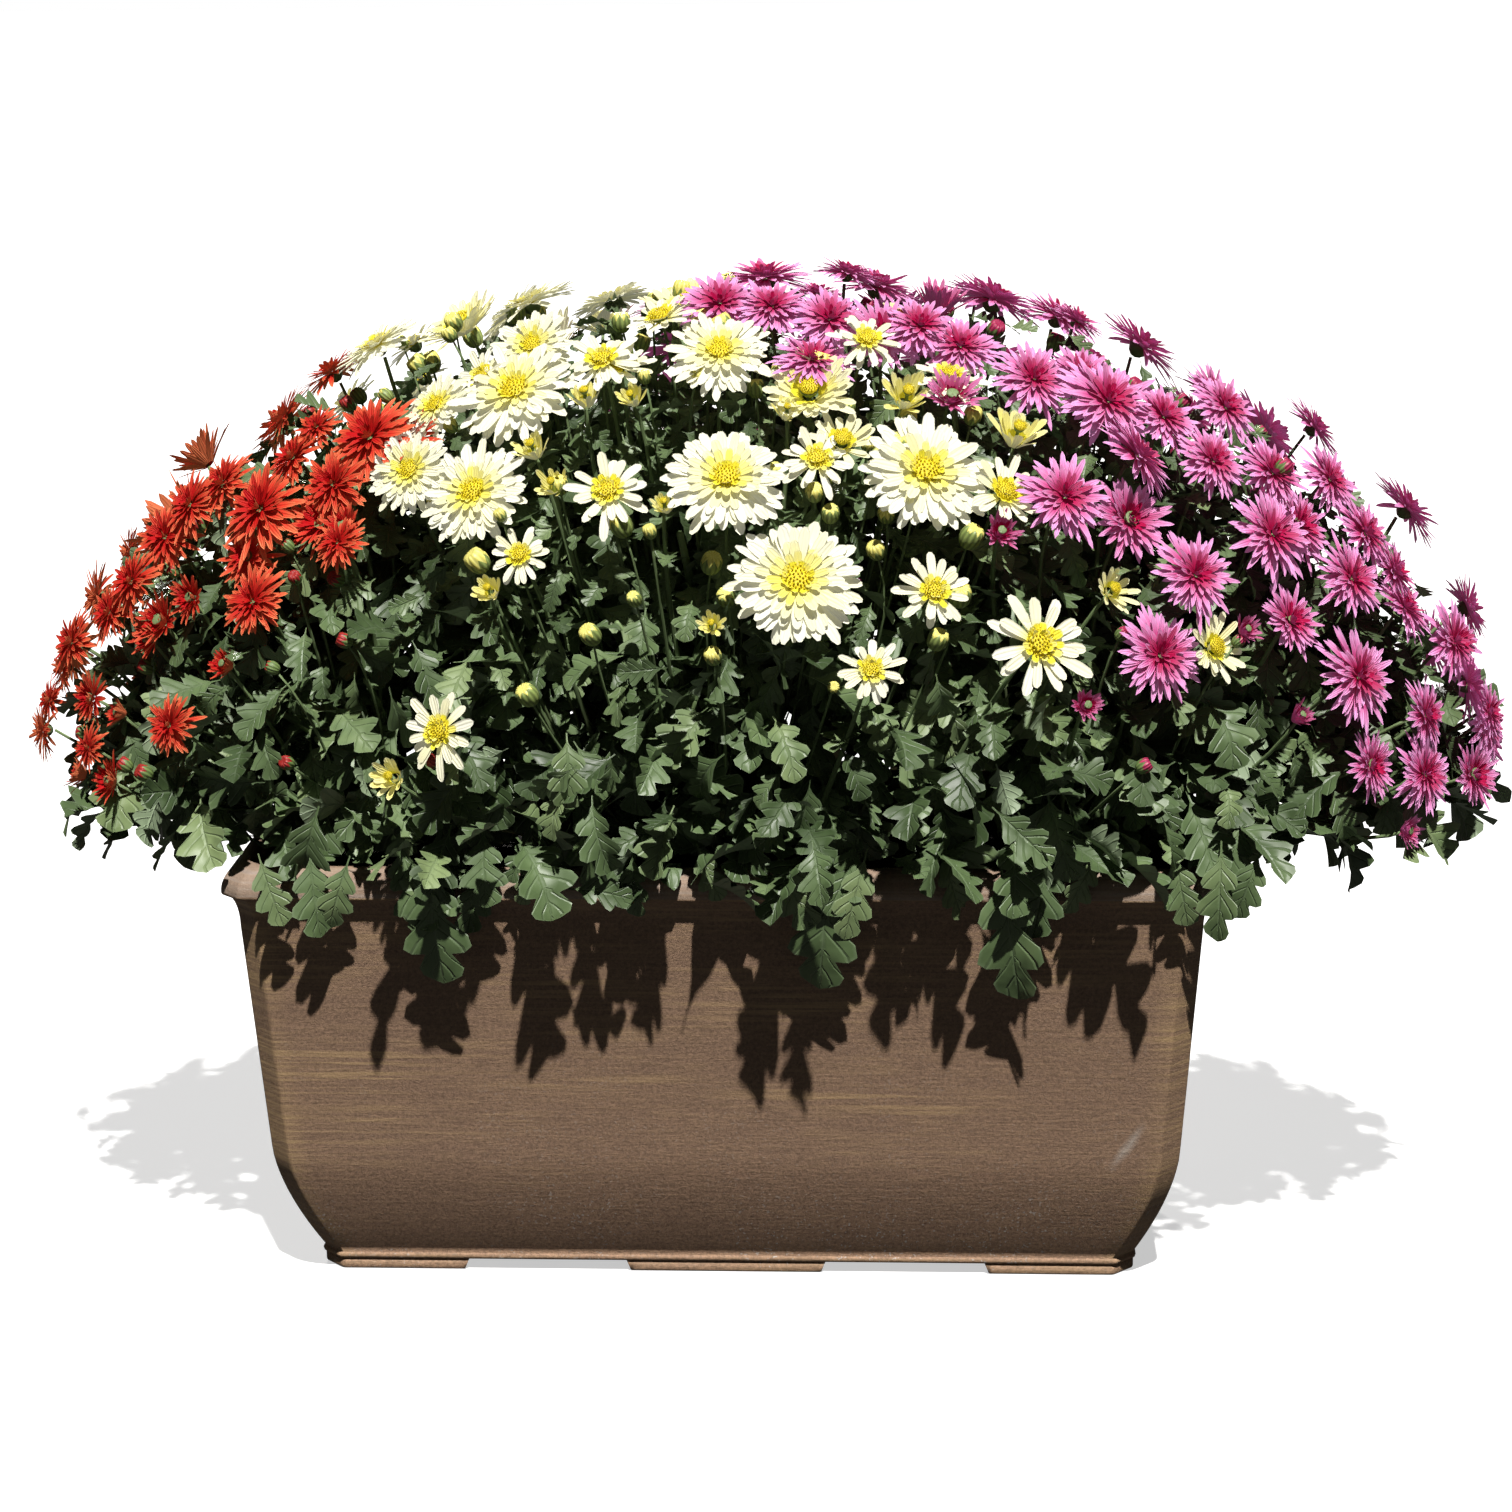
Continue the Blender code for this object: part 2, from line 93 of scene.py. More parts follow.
# Further flowers on the front, in millimetres: across, up, spread, how far sunk in, how far open (0 to 1)
FURTHER_FLOWERS = {
    "orange": (
        (-231, 462, 40, 10, 0.8), (-218, 479, 46, 4, 1.0), (-245, 490, 46, 3, 1.0), (-290, 472, 46, 3, 1.0),
        (-276, 440, 36, 12, 0.9), (-326, 440, 44, 4, 1.0), (-307, 412, 28, 6, 0.7), (-328, 398, 30, 6, 0.6),
        (-338, 386, 24, 8, 0.5), (-360, 395, 40, 3, 1.0), (-376, 346, 30, 6, 0.8), (-398, 354, 38, 2, 1.0),
        (-352, 343, 18, 4, 0.4), (-359, 303, 26, 4, 0.6), (-209, 458, 26, 2, 0.6), (-178, 508, 40, 8, 0.9),
        (-384, 302, 22, 5, 0.5), (-282, 380, 20, 5, 0.4),
    ),
    "white": (
        (-171, 488, 50, 3, 1.0), (-160, 522, 46, 4, 1.0), (-136, 538, 40, 6, 1.0), (-105, 552, 48, 2, 1.0),
        (-54, 547, 36, 6, 0.9), (-33, 568, 40, 2, 0.9), (54, 533, 50, 1, 0.72), (110, 530, 28, 2, 0.35),
        (74, 509, 36, 4, 0.74), (134, 540, 42, 6, 1.0), (165, 480, 42, 4, 0.9), (171, 510, 30, 1, 0.4),
        (284, 393, 36, 6, 0.8), (-71, 530, 22, 1, 0.35), (-45, 528, 18, 1, 0.3), (-100, 503, 22, 1, 0.35),
        (-87, 484, 19, 1, 0.3), (-24, 475, 17, 1, 0.3), (43, 522, 17, 1, 0.3), (-121, 429, 19, 1, 0.3),
        (-177, 326, 22, 1, 0.4), (228, 428, 24, 8, 0.6), (3, 413, 16, 1, 0.3), (106, 568, 26, 3, 0.6),
    ),
    "pink": (
        (2, 574, 50, 2, 1.0), (57, 549, 48, 4, 1.0), (66, 566, 50, 2, 1.0), (96, 560, 44, 4, 0.9),
        (140, 553, 48, 4, 1.0), (134, 528, 32, 1, 0.6), (182, 535, 50, 4, 1.0), (210, 536, 42, 6, 1.0),
        (240, 493, 56, 1, 1.0), (239, 464, 42, 8, 0.8), (256, 512, 50, 4, 1.0), (288, 517, 44, 4, 1.0),
        (318, 478, 50, 3, 1.0), (338, 452, 46, 8, 0.9), (372, 440, 48, 2, 1.0), (392, 418, 44, 5, 1.0),
        (394, 400, 44, 3, 1.0), (330, 404, 40, 8, 0.9), (440, 384, 46, 2, 1.0), (434, 350, 48, 2, 1.0),
        (408, 340, 44, 5, 1.0), (448, 322, 44, 2, 1.0), (376, 318, 36, 6, 0.9), (440, 298, 36, 3, 0.8),
        (161, 458, 22, 1, 0.4), (298, 400, 18, 2, 0.4), (329, 352, 18, 2, 0.3), (210, 366, 20, 4, 0.4),
        (396, 276, 20, 3, 0.5),
    ),
}

# Leaves over the front rim: across and up of the leaf stalk's end (mm), length (mm), lean (degrees)
RIM_LEAVES = {
    "orange": ((-258, 270, 44, 24), (-228, 274, 52, 8), (-205, 270, 46, -22)),
    "white": (
        (-176, 276, 52, 20), (-130, 272, 50, -16), (-96, 272, 34, -30), (-46, 274, 40, 6),
        (-10, 276, 36, 28), (34, 276, 52, 30), (86, 276, 54, -18), (128, 272, 42, 20),
    ),
    "pink": (
        (188, 276, 54, -14), (214, 272, 40, -34), (256, 274, 46, 14), (282, 280, 58, -2), (304, 276, 44, -24),
    ),
}


def unit(vectors):
    """Vectors divided by their lengths."""
    return vectors / np.maximum(np.linalg.norm(vectors, axis=-1, keepdims=True), 1e-12)


def plants_at(points):
    """Each point's plant, as a number into PLANTS: how many of the plan lines it lies beyond."""
    beyond = [points[:, 0] >= mid + slope * points[:, 1] for mid, slope in PLANT_LINES]
    return np.where(beyond[1], 2, np.where(beyond[0], 1, 0))


def node_points(name):
    """All corners of a CAD node's mesh."""
    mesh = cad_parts[name].data
    points = np.empty(len(mesh.vertices) * 3)
    mesh.vertices.foreach_get("co", points)
    return points.reshape(-1, 3)


def front_point(across, up):
    """The point on the front of the canopy ellipsoid at this across and height."""
    share_across = (across - CANOPY_MIDDLE[0]) / CANOPY_RADII[0]
    share_up = (up - CANOPY_MIDDLE[2]) / CANOPY_RADII[2]
    forward = math.sqrt(max(1 - share_across**2 - share_up**2, 0.0))
    return np.array([across, CANOPY_MIDDLE[1] - CANOPY_RADII[1] * forward, up])


def canopy_spiral(count, lowest):
    """Directions spread evenly from the crown down to height share lowest, a golden angle apart."""
    step = np.arange(count) + 0.5
    lift = 1 - (1 - lowest) * step / count
    ring = np.sqrt(1 - lift**2)
    turn = step * GOLDEN_ANGLE
    return np.stack([ring * np.cos(turn), ring * np.sin(turn), lift], -1)


def leaned(facing):
    """Facing lines turned towards the light, fully on the front of the canopy and not at all on its back."""
    share = np.clip(0.55 - 1.2 * facing[..., 1:2], 0, 1)
    return unit(facing + LEAN * share * LIGHT_SIDE)


# --- meshes ------------------------------------------------------------------------------------------


def sheets(points, bands, flip=False):
    """Sheets from points (count, rows, columns, 3): faces between neighbours, and the map along and across.

    The map's first value is row / rows; its second is (band + column / columns) / BANDS, with a small margin.
    """
    count, rows, columns = points.shape[:3]
    row, column = np.meshgrid(np.arange(rows - 1), np.arange(columns - 1), indexing="ij")
    corner = (row * columns + column).ravel()
    faces = np.stack([corner, corner + 1, corner + columns + 1, corner + columns], -1)
    if flip:
        faces = faces[:, ::-1]
    faces = (faces[None] + (np.arange(count) * rows * columns)[:, None, None]).reshape(-1, 4)
    along = np.broadcast_to(np.linspace(0.01, 0.99, rows)[None, :, None], points.shape[:3])
    across = np.broadcast_to(np.linspace(0.04, 0.96, columns)[None, None, :], points.shape[:3])
    band = (np.broadcast_to(bands, (count,))[:, None, None] + across) / BANDS
    return points.reshape(-1, 3), faces, np.stack([along, band], -1).reshape(-1, 2)


def merged(parts):
    """One surface from several, each (points, faces, map)."""
    start = np.cumsum([0] + [len(part[0]) for part in parts[:-1]])
    return (
        np.concatenate([part[0] for part in parts]),
        np.concatenate([part[1] + offset for part, offset in zip(parts, start)]),
        np.concatenate([part[2] for part in parts]),
    )


def make_piece(name, surface, material, replaces=(), weld=False, wear_and_sheen=None):
    """Puts a surface into a mesh, smooth, with its map, and rides it on the box's one body."""
    points, faces, places = surface
    mesh = bpy.data.meshes.new(name)
    mesh.vertices.add(len(points))
    mesh.vertices.foreach_set("co", points.astype(np.float32).ravel())
    mesh.loops.add(faces.size)
    mesh.loops.foreach_set("vertex_index", faces.astype(np.int32).ravel())
    mesh.polygons.add(len(faces))
    mesh.polygons.foreach_set("loop_start", np.arange(0, faces.size, 4, dtype=np.int32))
    mesh.update(calc_edges=True)
    layer = mesh.uv_layers.new(name="OFBake")
    layer.data.foreach_set("uv", places[faces.ravel()].astype(np.float32).ravel())
    if wear_and_sheen is not None:
        attribute = mesh.attributes.new("wear_and_sheen", "FLOAT", "POINT")
        attribute.data.foreach_set("value", wear_and_sheen.astype(np.float32))
    if weld:
        welded = bmesh.new()
        welded.from_mesh(mesh)
        bmesh.ops.remove_doubles(welded, verts=welded.verts, dist=1e-6)
        bmesh.ops.dissolve_degenerate(welded, edges=welded.edges, dist=1e-7)
        if welded.calc_volume(signed=True) < 0:
            bmesh.ops.reverse_faces(welded, faces=welded.faces)
        welded.to_mesh(mesh)
        welded.free()
    mesh.shade_smooth()
    mesh.materials.append(material)
    piece = bpy.data.objects.new(name, mesh)
    bpy.context.scene.collection.objects.link(piece)
    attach(piece, "root")
    if replaces:
        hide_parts(*replaces)
    return piece


# --- shader nodes ------------------------------------------------------------------------------------


def node(tree, kind, inputs=None, **settings):
    """Adds a shader node; an input is given a number or colour, or linked from a socket."""
    made = tree.nodes.new("ShaderNode" + kind)
    for key, value in settings.items():
        setattr(made, key, value)
    for key, value in (inputs or {}).items():
        if isinstance(value, bpy.types.NodeSocket):
            tree.links.new(value, made.inputs[key])
        else:
            made.inputs[key].default_value = value
    return made


def maths(tree, operation, first, second=0.0, clamp=False):
    """The result of one Math node."""
    return node(tree, "Math", {0: first, 1: second}, operation=operation, use_clamp=clamp).outputs[0]


def times(tree, first, *others):
    """Product of all its values, each a number or a socket."""
    for other in others:
        first = maths(tree, "MULTIPLY", first, other)
    return first


def plus(tree, first, second):
    """Sum of two values."""
    return maths(tree, "ADD", first, second)


def minus(tree, first, second):
    """The first value less the second."""
    return maths(tree, "SUBTRACT", first, second)


def off_middle(tree, value):
    """How far a value from 0 to 1 is from a half."""
    return maths(tree, "ABSOLUTE", minus(tree, value, 0.5))


def mixed(tree, factor, first, second, blend="MIX"):
    """Blends two colours, each a socket or three numbers: factor 0 gives the first."""
    first, second = (
        value if isinstance(value, bpy.types.NodeSocket) else (*value, 1) for value in (first, second)
    )
    made = node(tree, "Mix", {0: factor, 6: first, 7: second}, data_type="RGBA", blend_type=blend)
    return made.outputs[2]


def ramp(tree, factor, stops):
    """A colour or grey ramp through (position, value) stops."""
    made = node(tree, "ValToRGB", {"Fac": factor})
    elements = made.color_ramp.elements
    while len(elements) < len(stops):
        elements.new(1.0)
    for element, (position, value) in zip(elements, stops):
        element.position = position
        element.color = (value, value, value, 1) if isinstance(value, (int, float)) else (*value, 1)
    return made.outputs["Color"]


def noise(tree, place, scale, detail=3.0, rough=0.55):
    """Noise from 0 to 1 at a place."""
    inputs = {"Vector": place, "Scale": scale, "Detail": detail, "Roughness": rough}
    return node(tree, "TexNoise", inputs).outputs["Fac"]


def new_group(name, inputs, outputs):
    """An empty node group with named sockets, each given as name: (kind, default)."""
    group = bpy.data.node_groups.new(name, "ShaderNodeTree")
    for side, sockets in (("INPUT", inputs), ("OUTPUT", outputs)):
        for label, (kind, default) in sockets.items():
            socket = group.interface.new_socket(label, in_out=side, socket_type="NodeSocket" + kind)
            if default is not None:
                socket.default_value = default
    return group, group.nodes.new("NodeGroupInput").outputs, group.nodes.new("NodeGroupOutput").inputs


def growth_map_group():
    """Splits a piece's map into Along, Across and Shade. Shade is the band, from 0 to 1."""
    outputs = {"Along": ("Float", None), "Across": ("Float", None), "Shade": ("Float", None)}
    group, given, result = new_group("Growth map", {"Map": ("Vector", None)}, outputs)
    parts = node(group, "SeparateXYZ", {0: given["Map"]}).outputs
    bands = times(group, parts["Y"], BANDS)
    band = maths(group, "FLOOR", bands)
    group.links.new(parts["X"], result["Along"])
    group.links.new(minus(group, bands, band), result["Across"])
    group.links.new(maths(group, "DIVIDE", band, BANDS - 1), result["Shade"])
    return group


def ribs_group():
    """Fine ribs that run the length of a petal or stalk: height is a cosine across it, Count to the width."""
    inputs = {"Across": ("Float", 0.5), "Count": ("Float", 4.0)}
    group, given, result = new_group("Lengthwise ribs", inputs, {"Height": ("Float", None)})
    turn = times(group, given["Across"], given["Count"])
    wave = maths(group, "COSINE", times(group, turn, math.tau))
    group.links.new(plus(group, times(group, wave, 0.5), 0.5), result["Height"])
    return group


def mottle_group():
    """Soft patches of uneven colour: noise at Size patches to the metre, its spread scaled by Contrast."""
    inputs = {"Size": ("Float", 60.0), "Contrast": ("Float", 1.0)}
    group, given, result = new_group("Uneven tone", inputs, {"Tone": ("Float", None)})
    place = node(group, "TexCoord").outputs["Object"]
    patches = noise(group, place, given["Size"], 2.0)
    centred = times(group, minus(group, patches, 0.5), given["Contrast"])
    group.links.new(maths(group, "ADD", centred, 0.5, clamp=True), result["Tone"])
    return group


GROUPS = {}


def shared_effect(tree, name, inputs):
    """The outputs of a shared effect in this tree. It is built once, when a material first asks for it."""
    builders = {"growth": growth_map_group, "ribs": ribs_group, "mottle": mottle_group}
    if name not in GROUPS:
        GROUPS[name] = builders[name]()
    return node(tree, "Group", inputs, node_tree=GROUPS[name]).outputs


def ribs_across(tree, parts, count):
    """Height of the lengthwise ribs on a piece, count to its width."""
    return shared_effect(tree, "ribs", {"Across": parts["Across"], "Count": count})["Height"]


def uneven_tone(tree, size, contrast):
    """Soft patches from 0 to 1."""
    return shared_effect(tree, "mottle", {"Size": size, "Contrast": contrast})["Tone"]


def new_material(name, roughness, **constants):
    """A material with its Principled shader, whose plain numbers stand on the shader's own sockets."""
    material = bpy.data.materials.new(name)
    material.use_nodes = True
    tree = material.node_tree
    shader = tree.nodes["Principled BSDF"]
    shader.inputs["Roughness"].default_value = roughness
    for label, value in constants.items():
        shader.inputs[label.replace("_", " ")].default_value = value
    return material, tree, shader


def growth_parts(tree):
    """Along, Across and Shade, read from the piece's own map."""
    place = node(tree, "UVMap", uv_map="OFBake").outputs["UV"]
    return shared_effect(tree, "growth", {"Map": place})


def add_bump(tree, shader, height, distance, strength=0.5):
    """Relief from a height, distance deep."""
    bump = node(tree, "Bump", {"Height": height, "Distance": distance, "Strength": strength})
    tree.links.new(bump.outputs["Normal"], shader.inputs["Normal"])


def petal_material(name, stops, inner_stops, reverse, edge_light, glow):
    """Petals coloured along their length, deeper in the inner rings, ribbed, with their own reverse colour.

    Shade runs from 0 for the outermost ring's palest petals to 1 for the innermost. Ribs and pale edges show
    only towards the tips. Glow is painted light: the petals give off light in their own colour, standing in
    for the light that comes through such thin petals and lifting their shaded sides.
    """
    # Emission Strength is the glow: painted light, the petals shine a little on their own
    material, tree, shader = new_material(name, 0.65, Specular_IOR_Level=0.15, Emission_Strength=glow)
    parts = growth_parts(tree)
    outer = ramp(tree, parts["Along"], stops)
    inner = ramp(tree, parts["Along"], inner_stops)
    colour = mixed(tree, parts["Shade"], outer, inner)
    outwards = times(tree, parts["Along"], minus(tree, 1.0, parts["Shade"]))
    ribs = ribs_across(tree, parts, 3.0)
    colour = mixed(tree, times(tree, ribs, outwards, 0.35), colour, reverse)
    rim = ramp(tree, off_middle(tree, parts["Across"]), ((0.28, 0.0), (0.48, 1.0)))
    colour = mixed(tree, times(tree, rim, outwards, 0.7), colour, edge_light)
    tone = uneven_tone(tree, 90.0, 1.6)
    colour = mixed(tree, times(tree, tone, 0.22), colour, reverse, "MULTIPLY")
    behind = node(tree, "NewGeometry").outputs["Backfacing"]
    colour = mixed(tree, times(tree, behind, 0.65), colour, reverse)
    tree.links.new(colour, shader.inputs["Base Color"])
    # Painted light: the petal colour is also given off as light, as if the petals were lit through from
    # behind
    tree.links.new(colour, shader.inputs["Emission Color"])
    add_bump(tree, shader, ribs, 0.0006)
    return material


def leaf_material(settings):
    """Leaves: a paler midrib and side veins that point forward, uneven green, and a greyer underside."""
    material, tree, shader = new_material("chrysanthemum_leaf", 0.48)
    parts = growth_parts(tree)
    side = off_middle(tree, parts["Across"])
    midrib = ramp(tree, side, ((0.0, 1.0), (0.045, 0.0)))
    slanted = minus(tree, parts["Along"], times(tree, side, 0.30))
    repeated = maths(tree, "FRACT", times(tree, slanted, 7.0))
    veins = ramp(tree, off_middle(tree, repeated), ((0.0, 0.8), (0.13, 0.0)))
    lines = maths(tree, "MAXIMUM", midrib, veins)
    tone = uneven_tone(tree, 45.0, 2.2)
    shade = plus(tree, times(tree, parts["Shade"], 0.7), times(tree, tone, 0.3))
    greens = ((0.08, settings.dark_green), (0.55, settings.mid_green), (0.92, settings.pale_green))
    green = ramp(tree, shade, greens)
    green = mixed(tree, times(tree, lines, 0.17), green, settings.underside)
    rim = times(tree, ramp(tree, side, ((0.40, 0.0), (0.50, 1.0))), 0.30)
    green = mixed(tree, rim, green, settings.underside)
    behind = node(tree, "NewGeometry").outputs["Backfacing"]
    green = mixed(tree, times(tree, behind, 0.75), green, settings.underside)
    tree.links.new(green, shader.inputs["Base Color"])
    add_bump(tree, shader, minus(tree, tone, lines), 0.0012, 0.6)
    return material


def stem_material(settings):
    """Stalks: grey green with fine ribs, browner at the woody foot, where Along is small."""
    material, tree, shader = new_material("chrysanthemum_stem", 0.6)
    parts = growth_parts(tree)
    colours = ((0.0, settings.woody_brown), (0.35, settings.stem_green), (1.0, settings.young_green))
    colour = ramp(tree, parts["Along"], colours)
    ribs = ribs_across(tree, parts, 5.0)
    colour = mixed(tree, times(tree, ribs, 0.25), colour, settings.woody_brown)
    tone = uneven_tone(tree, 120.0, 2.0)
    colour = mixed(tree, times(tree, tone, 0.25), colour, settings.young_green)
    tree.links.new(colour, shader.inputs["Base Color"])
    add_bump(tree, shader, ribs, 0.0004)
    return material


def bud_material(name, tip, heart, sepal):
    """Buds: green sepals below a zigzag edge, furled petals above it."""
    material, tree, shader = new_material(name, 0.5)
    parts = growth_parts(tree)
    turns = maths(tree, "FRACT", times(tree, parts["Across"], 8.0))
    edge = plus(tree, times(tree, off_middle(tree, turns), 0.42), 0.34)
    edge = plus(tree, edge, times(tree, parts["Shade"], 0.28))
    above = maths(tree, "GREATER_THAN", parts["Along"], edge)
    ribs = ribs_across(tree, parts, 14.0)
    petals = mixed(tree, ribs, tip, heart)
    green = mixed(tree, ribs, sepal, [0.5 * part for part in sepal])
    colour = mixed(tree, above, green, petals)
    tree.links.new(colour, shader.inputs["Base Color"])
    add_bump(tree, shader, plus(tree, ribs, above), 0.0005)
    return material


def floret_material(heart, rim):
    """The disc's tubular florets: golden, greener towards the middle."""
    material, tree, shader = new_material("yellow_florets", 0.6)
    parts = growth_parts(tree)
    middle = [0.8 * part for part in heart]
    colour = ramp(tree, parts["Along"], ((0.0, rim), (0.8, heart), (1.0, middle)))
    tone = uneven_tone(tree, 700.0, 2.5)
    colour = mixed(tree, times(tree, tone, 0.30), colour, (0.62, 0.42, 0.008))
    tree.links.new(colour, shader.inputs["Base Color"])
    add_bump(tree, shader, tone, 0.0008)
    return material


def scratch_mask(tree, place, middle, heading):
    """A short scrape on the front: 1 near the line through middle, fading out along it and on both sides."""
    away = node(tree, "VectorMath", {0: place, 1: middle}, operation="SUBTRACT").outputs[0]
    across = (heading[2], 0.0, -heading[0])
    along = node(tree, "VectorMath", {0: away, 1: heading}, operation="DOT_PRODUCT").outputs["Value"]
    aside = node(tree, "VectorMath", {0: away, 1: across}, operation="DOT_PRODUCT").outputs["Value"]
    wander = times(tree, minus(tree, noise(tree, place, 60.0, 1.0), 0.5), 0.006)
    aside = maths(tree, "ABSOLUTE", plus(tree, aside, wander))
    near = ramp(tree, aside, ((0.0004, 1.0), (0.0012, 0.0)))
    length = ramp(tree, maths(tree, "ABSOLUTE", along), ((0.006, 1.0), (0.018, 0.0)))
    front = maths(tree, "LESS_THAN", node(tree, "SeparateXYZ", {0: place}).outputs["Y"], 0.0)
    return times(tree, near, length, front)


def planter_material(settings):
    """Moulded resin: brown, brushed lengthwise with dull gold, worn bright on its edges, dusty at its foot.

    Streaks are noise stretched far along the box and fine against its height. The lip's paler, pinkish grey
    is partly weathering and partly painted sheen, where the lip faces up into the light.
    """
    material, tree, shader = new_material("brushed_bronze_resin", 0.5, Specular_IOR_Level=0.4)
    place = node(tree, "TexCoord").outputs["Object"]

    def stretched(scale, fineness, detail=4.0):
        squeezed = node(tree, "Mapping", {"Vector": place, "Scale": scale}).outputs["Vector"]
        return noise(tree, squeezed, fineness, detail, 0.6)

    dashes = ramp(tree, stretched((48, 48, 560), 1.0, 5.0), ((0.46, 0.0), (0.64, 1.0)))
    furrows = ramp(tree, stretched((34, 34, 400), 1.0, 5.0), ((0.32, 1.0), (0.48, 0.0)))
    strokes = ramp(tree, stretched((8, 8, 330), 1.0, 6.0), ((0.47, 0.0), (0.60, 1.0)))
    broad = ramp(tree, stretched((7, 7, 28), 1.0, 2.0), ((0.47, 0.0), (0.66, 1.0)))
    height = node(tree, "SeparateXYZ", {0: place}).outputs["Z"]
    share = maths(tree, "DIVIDE", height, float(RIM_TOP))
    band = ramp(tree, share, ((0.04, 0.15), (0.25, 0.35), (0.50, 1.0), (0.80, 0.9), (0.97, 0.5)))
    brushed = plus(tree, times(tree, strokes, broad, band, 0.85), times(tree, dashes, 0.17))
    wear_and_sheen = node(tree, "Attribute", attribute_name="wear_and_sheen").outputs["Fac"]
    worn = ramp(tree, wear_and_sheen, ((0.0, 0.0), (0.75, 1.0)))
    uneven = plus(tree, times(tree, strokes, 0.6), times(tree, broad, 0.4))
    corners = times(tree, worn, plus(tree, uneven, 0.12))
    gold = maths(tree, "ADD", brushed, corners, clamp=True)
    low = ramp(tree, height, ((0.01, 1.0), (0.085, 0.0)))
    brown = mixed(tree, low, settings.brown, settings.low_brown)
    grain = ramp(tree, noise(tree, place, 520.0, 5.0, 0.8), ((0.38, 0.0), (0.62, 1.0)))
    brown = mixed(tree, times(tree, grain, 0.78), brown, settings.pore)
    brown = mixed(tree, times(tree, furrows, 0.25), brown, settings.pore)
    colour = mixed(tree, times(tree, gold, 0.80), brown, settings.gold)
    # The lip's crest turns a paler, pinkish grey: partly weathering, partly painted sheen where it faces the
    # light
    lip_weathering_and_sheen = ramp(tree, wear_and_sheen, ((0.80, 0.0), (0.95, 1.0)))
    colour = mixed(tree, times(tree, lip_weathering_and_sheen, plus(tree, uneven, 0.30), 0.70), colour, settings.bloom)
    specks = ramp(tree, noise(tree, place, 560.0, 1.0, 0.3), ((0.665, 0.0), (0.70, 1.0)))
    patches = ramp(tree, noise(tree, place, 16.0, 2.0), ((0.42, 0.1), (0.60, 1.0)))
    reach = ramp(tree, height, ((0.0, 1.0), (0.035, 0.8), (0.075, 0.2), (0.20, 0.04)))
    dust = times(tree, specks, reach, patches)
    colour = mixed(tree, dust, colour, settings.dust)
    scratch = scratch_mask(tree, place, (0.2345, 0.0, 0.090), (0.585, 0.0, 0.811))
    colour = mixed(tree, times(tree, scratch, 0.55), colour, settings.dust)
    tree.links.new(colour, shader.inputs["Base Color"])
    rough = minus(tree, 0.66, times(tree, gold, 0.14))
    tree.links.new(plus(tree, rough, times(tree, dust, 0.3)), shader.inputs["Roughness"])
    relief = plus(tree, times(tree, dashes, 0.5), grain)
    add_bump(tree, shader, relief, 0.0004, 0.45)
    return material


def compost_material(settings):
    """Compost: dark brown crumbs with paler fibres, rough and uneven."""
    material, tree, shader = new_material("potting_compost", 0.95)
    place = node(tree, "TexCoord").outputs["Object"]
    crumbs = noise(tree, place, 180.0, 6.0, 0.7)
    colour = ramp(tree, crumbs, ((0.35, settings.wet_brown), (0.62, settings.dry_brown)))
    fibres = ramp(tree, noise(tree, place, 420.0, 2.0), ((0.70, 0.0), (0.74, 1.0)))
    colour = mixed(tree, times(tree, fibres, 0.6), colour, (0.18, 0.12, 0.07))
    tree.links.new(colour, shader.inputs["Base Color"])
    add_bump(tree, shader, crumbs, 0.004, 1.0)
    return material


# --- planter and compost -----------------------------------------------------------------------------


def box_ring(inset, height, settings, side_steps=44, end_steps=18):
    """Points of a rectangle with chamfered corners, this far inside the body's top outline.

    Each chamfer is a straight run between two arcs of an eighth of a turn. The ring starts on the +X end and
    ends on its own first point.
    """
    half = BOX_HIGH[:2] - settings.lip_out - inset
    radius, cut = settings.edge_radius, settings.chamfer
    set_back = radius * math.tan(math.pi / 8)
    lower = np.linspace(0, math.pi / 4, 5)
    upper = lower + math.pi / 4
    first = half - [radius, cut + set_back] + radius * np.column_stack([np.cos(lower), np.sin(lower)])
    second = half - [cut + set_back, radius] + radius * np.column_stack([np.cos(upper), np.sin(upper)])
    share = np.linspace(0, 1, 6)[1:-1, None]
    corner = np.concatenate([first, first[-1] + (second[0] - first[-1]) * share, second])
    corners = [corner, corner[::-1] * [-1, 1], -corner, corner[::-1] * [1, -1]]
    runs = []
    for number in range(4):
        start, end = corners[number][-1], corners[(number + 1) % 4][0]
        share = np.linspace(0, 1, (side_steps, end_steps)[number % 2] + 2)[1:-1, None]
        runs += [corners[number], start + (end - start) * share]
    outline = np.concatenate(runs + [corners[0][:1]])
    return np.column_stack([outline, np.full(len(outline), height)])


def on_chamfer(outline, settings):
    """How far each point of an outline lies within the corner chamfers: 1 across them, 0 past their edges."""
    half = np.abs(outline[:, :2]).max(axis=0)
    short = (half - np.abs(outline[:, :2])).sum(axis=1)
    return np.interp(short / settings.chamfer, (0.80, 0.95, 1.15, 1.35), (0, 1, 1, 0))


# How sharply the wall tucks in, the profile's rows down the inside, half the length of the lines across which
# the floor is closed, and half the box's length beyond which a runner ends with the plinth
TUCK_POWER = 1.6
INSIDE_ROWS = 16
FLOOR_LINE = 0.19
RUNNER_INNER = 0.2


def wall_inset(height, settings):
    """How far the wall has drawn in: evenly with the drop, and near the foot by tuck * share^power more."""
    shoulder = RIM_TOP - settings.lip_height - settings.cove_height
    down = np.clip((shoulder - height) / (shoulder - settings.plinth_top), 0, 1)
    tucked = np.clip((settings.tuck_start - height) / (settings.tuck_start - settings.plinth_top), 0, 1)
    return settings.taper * down + settings.tuck * tucked**TUCK_POWER


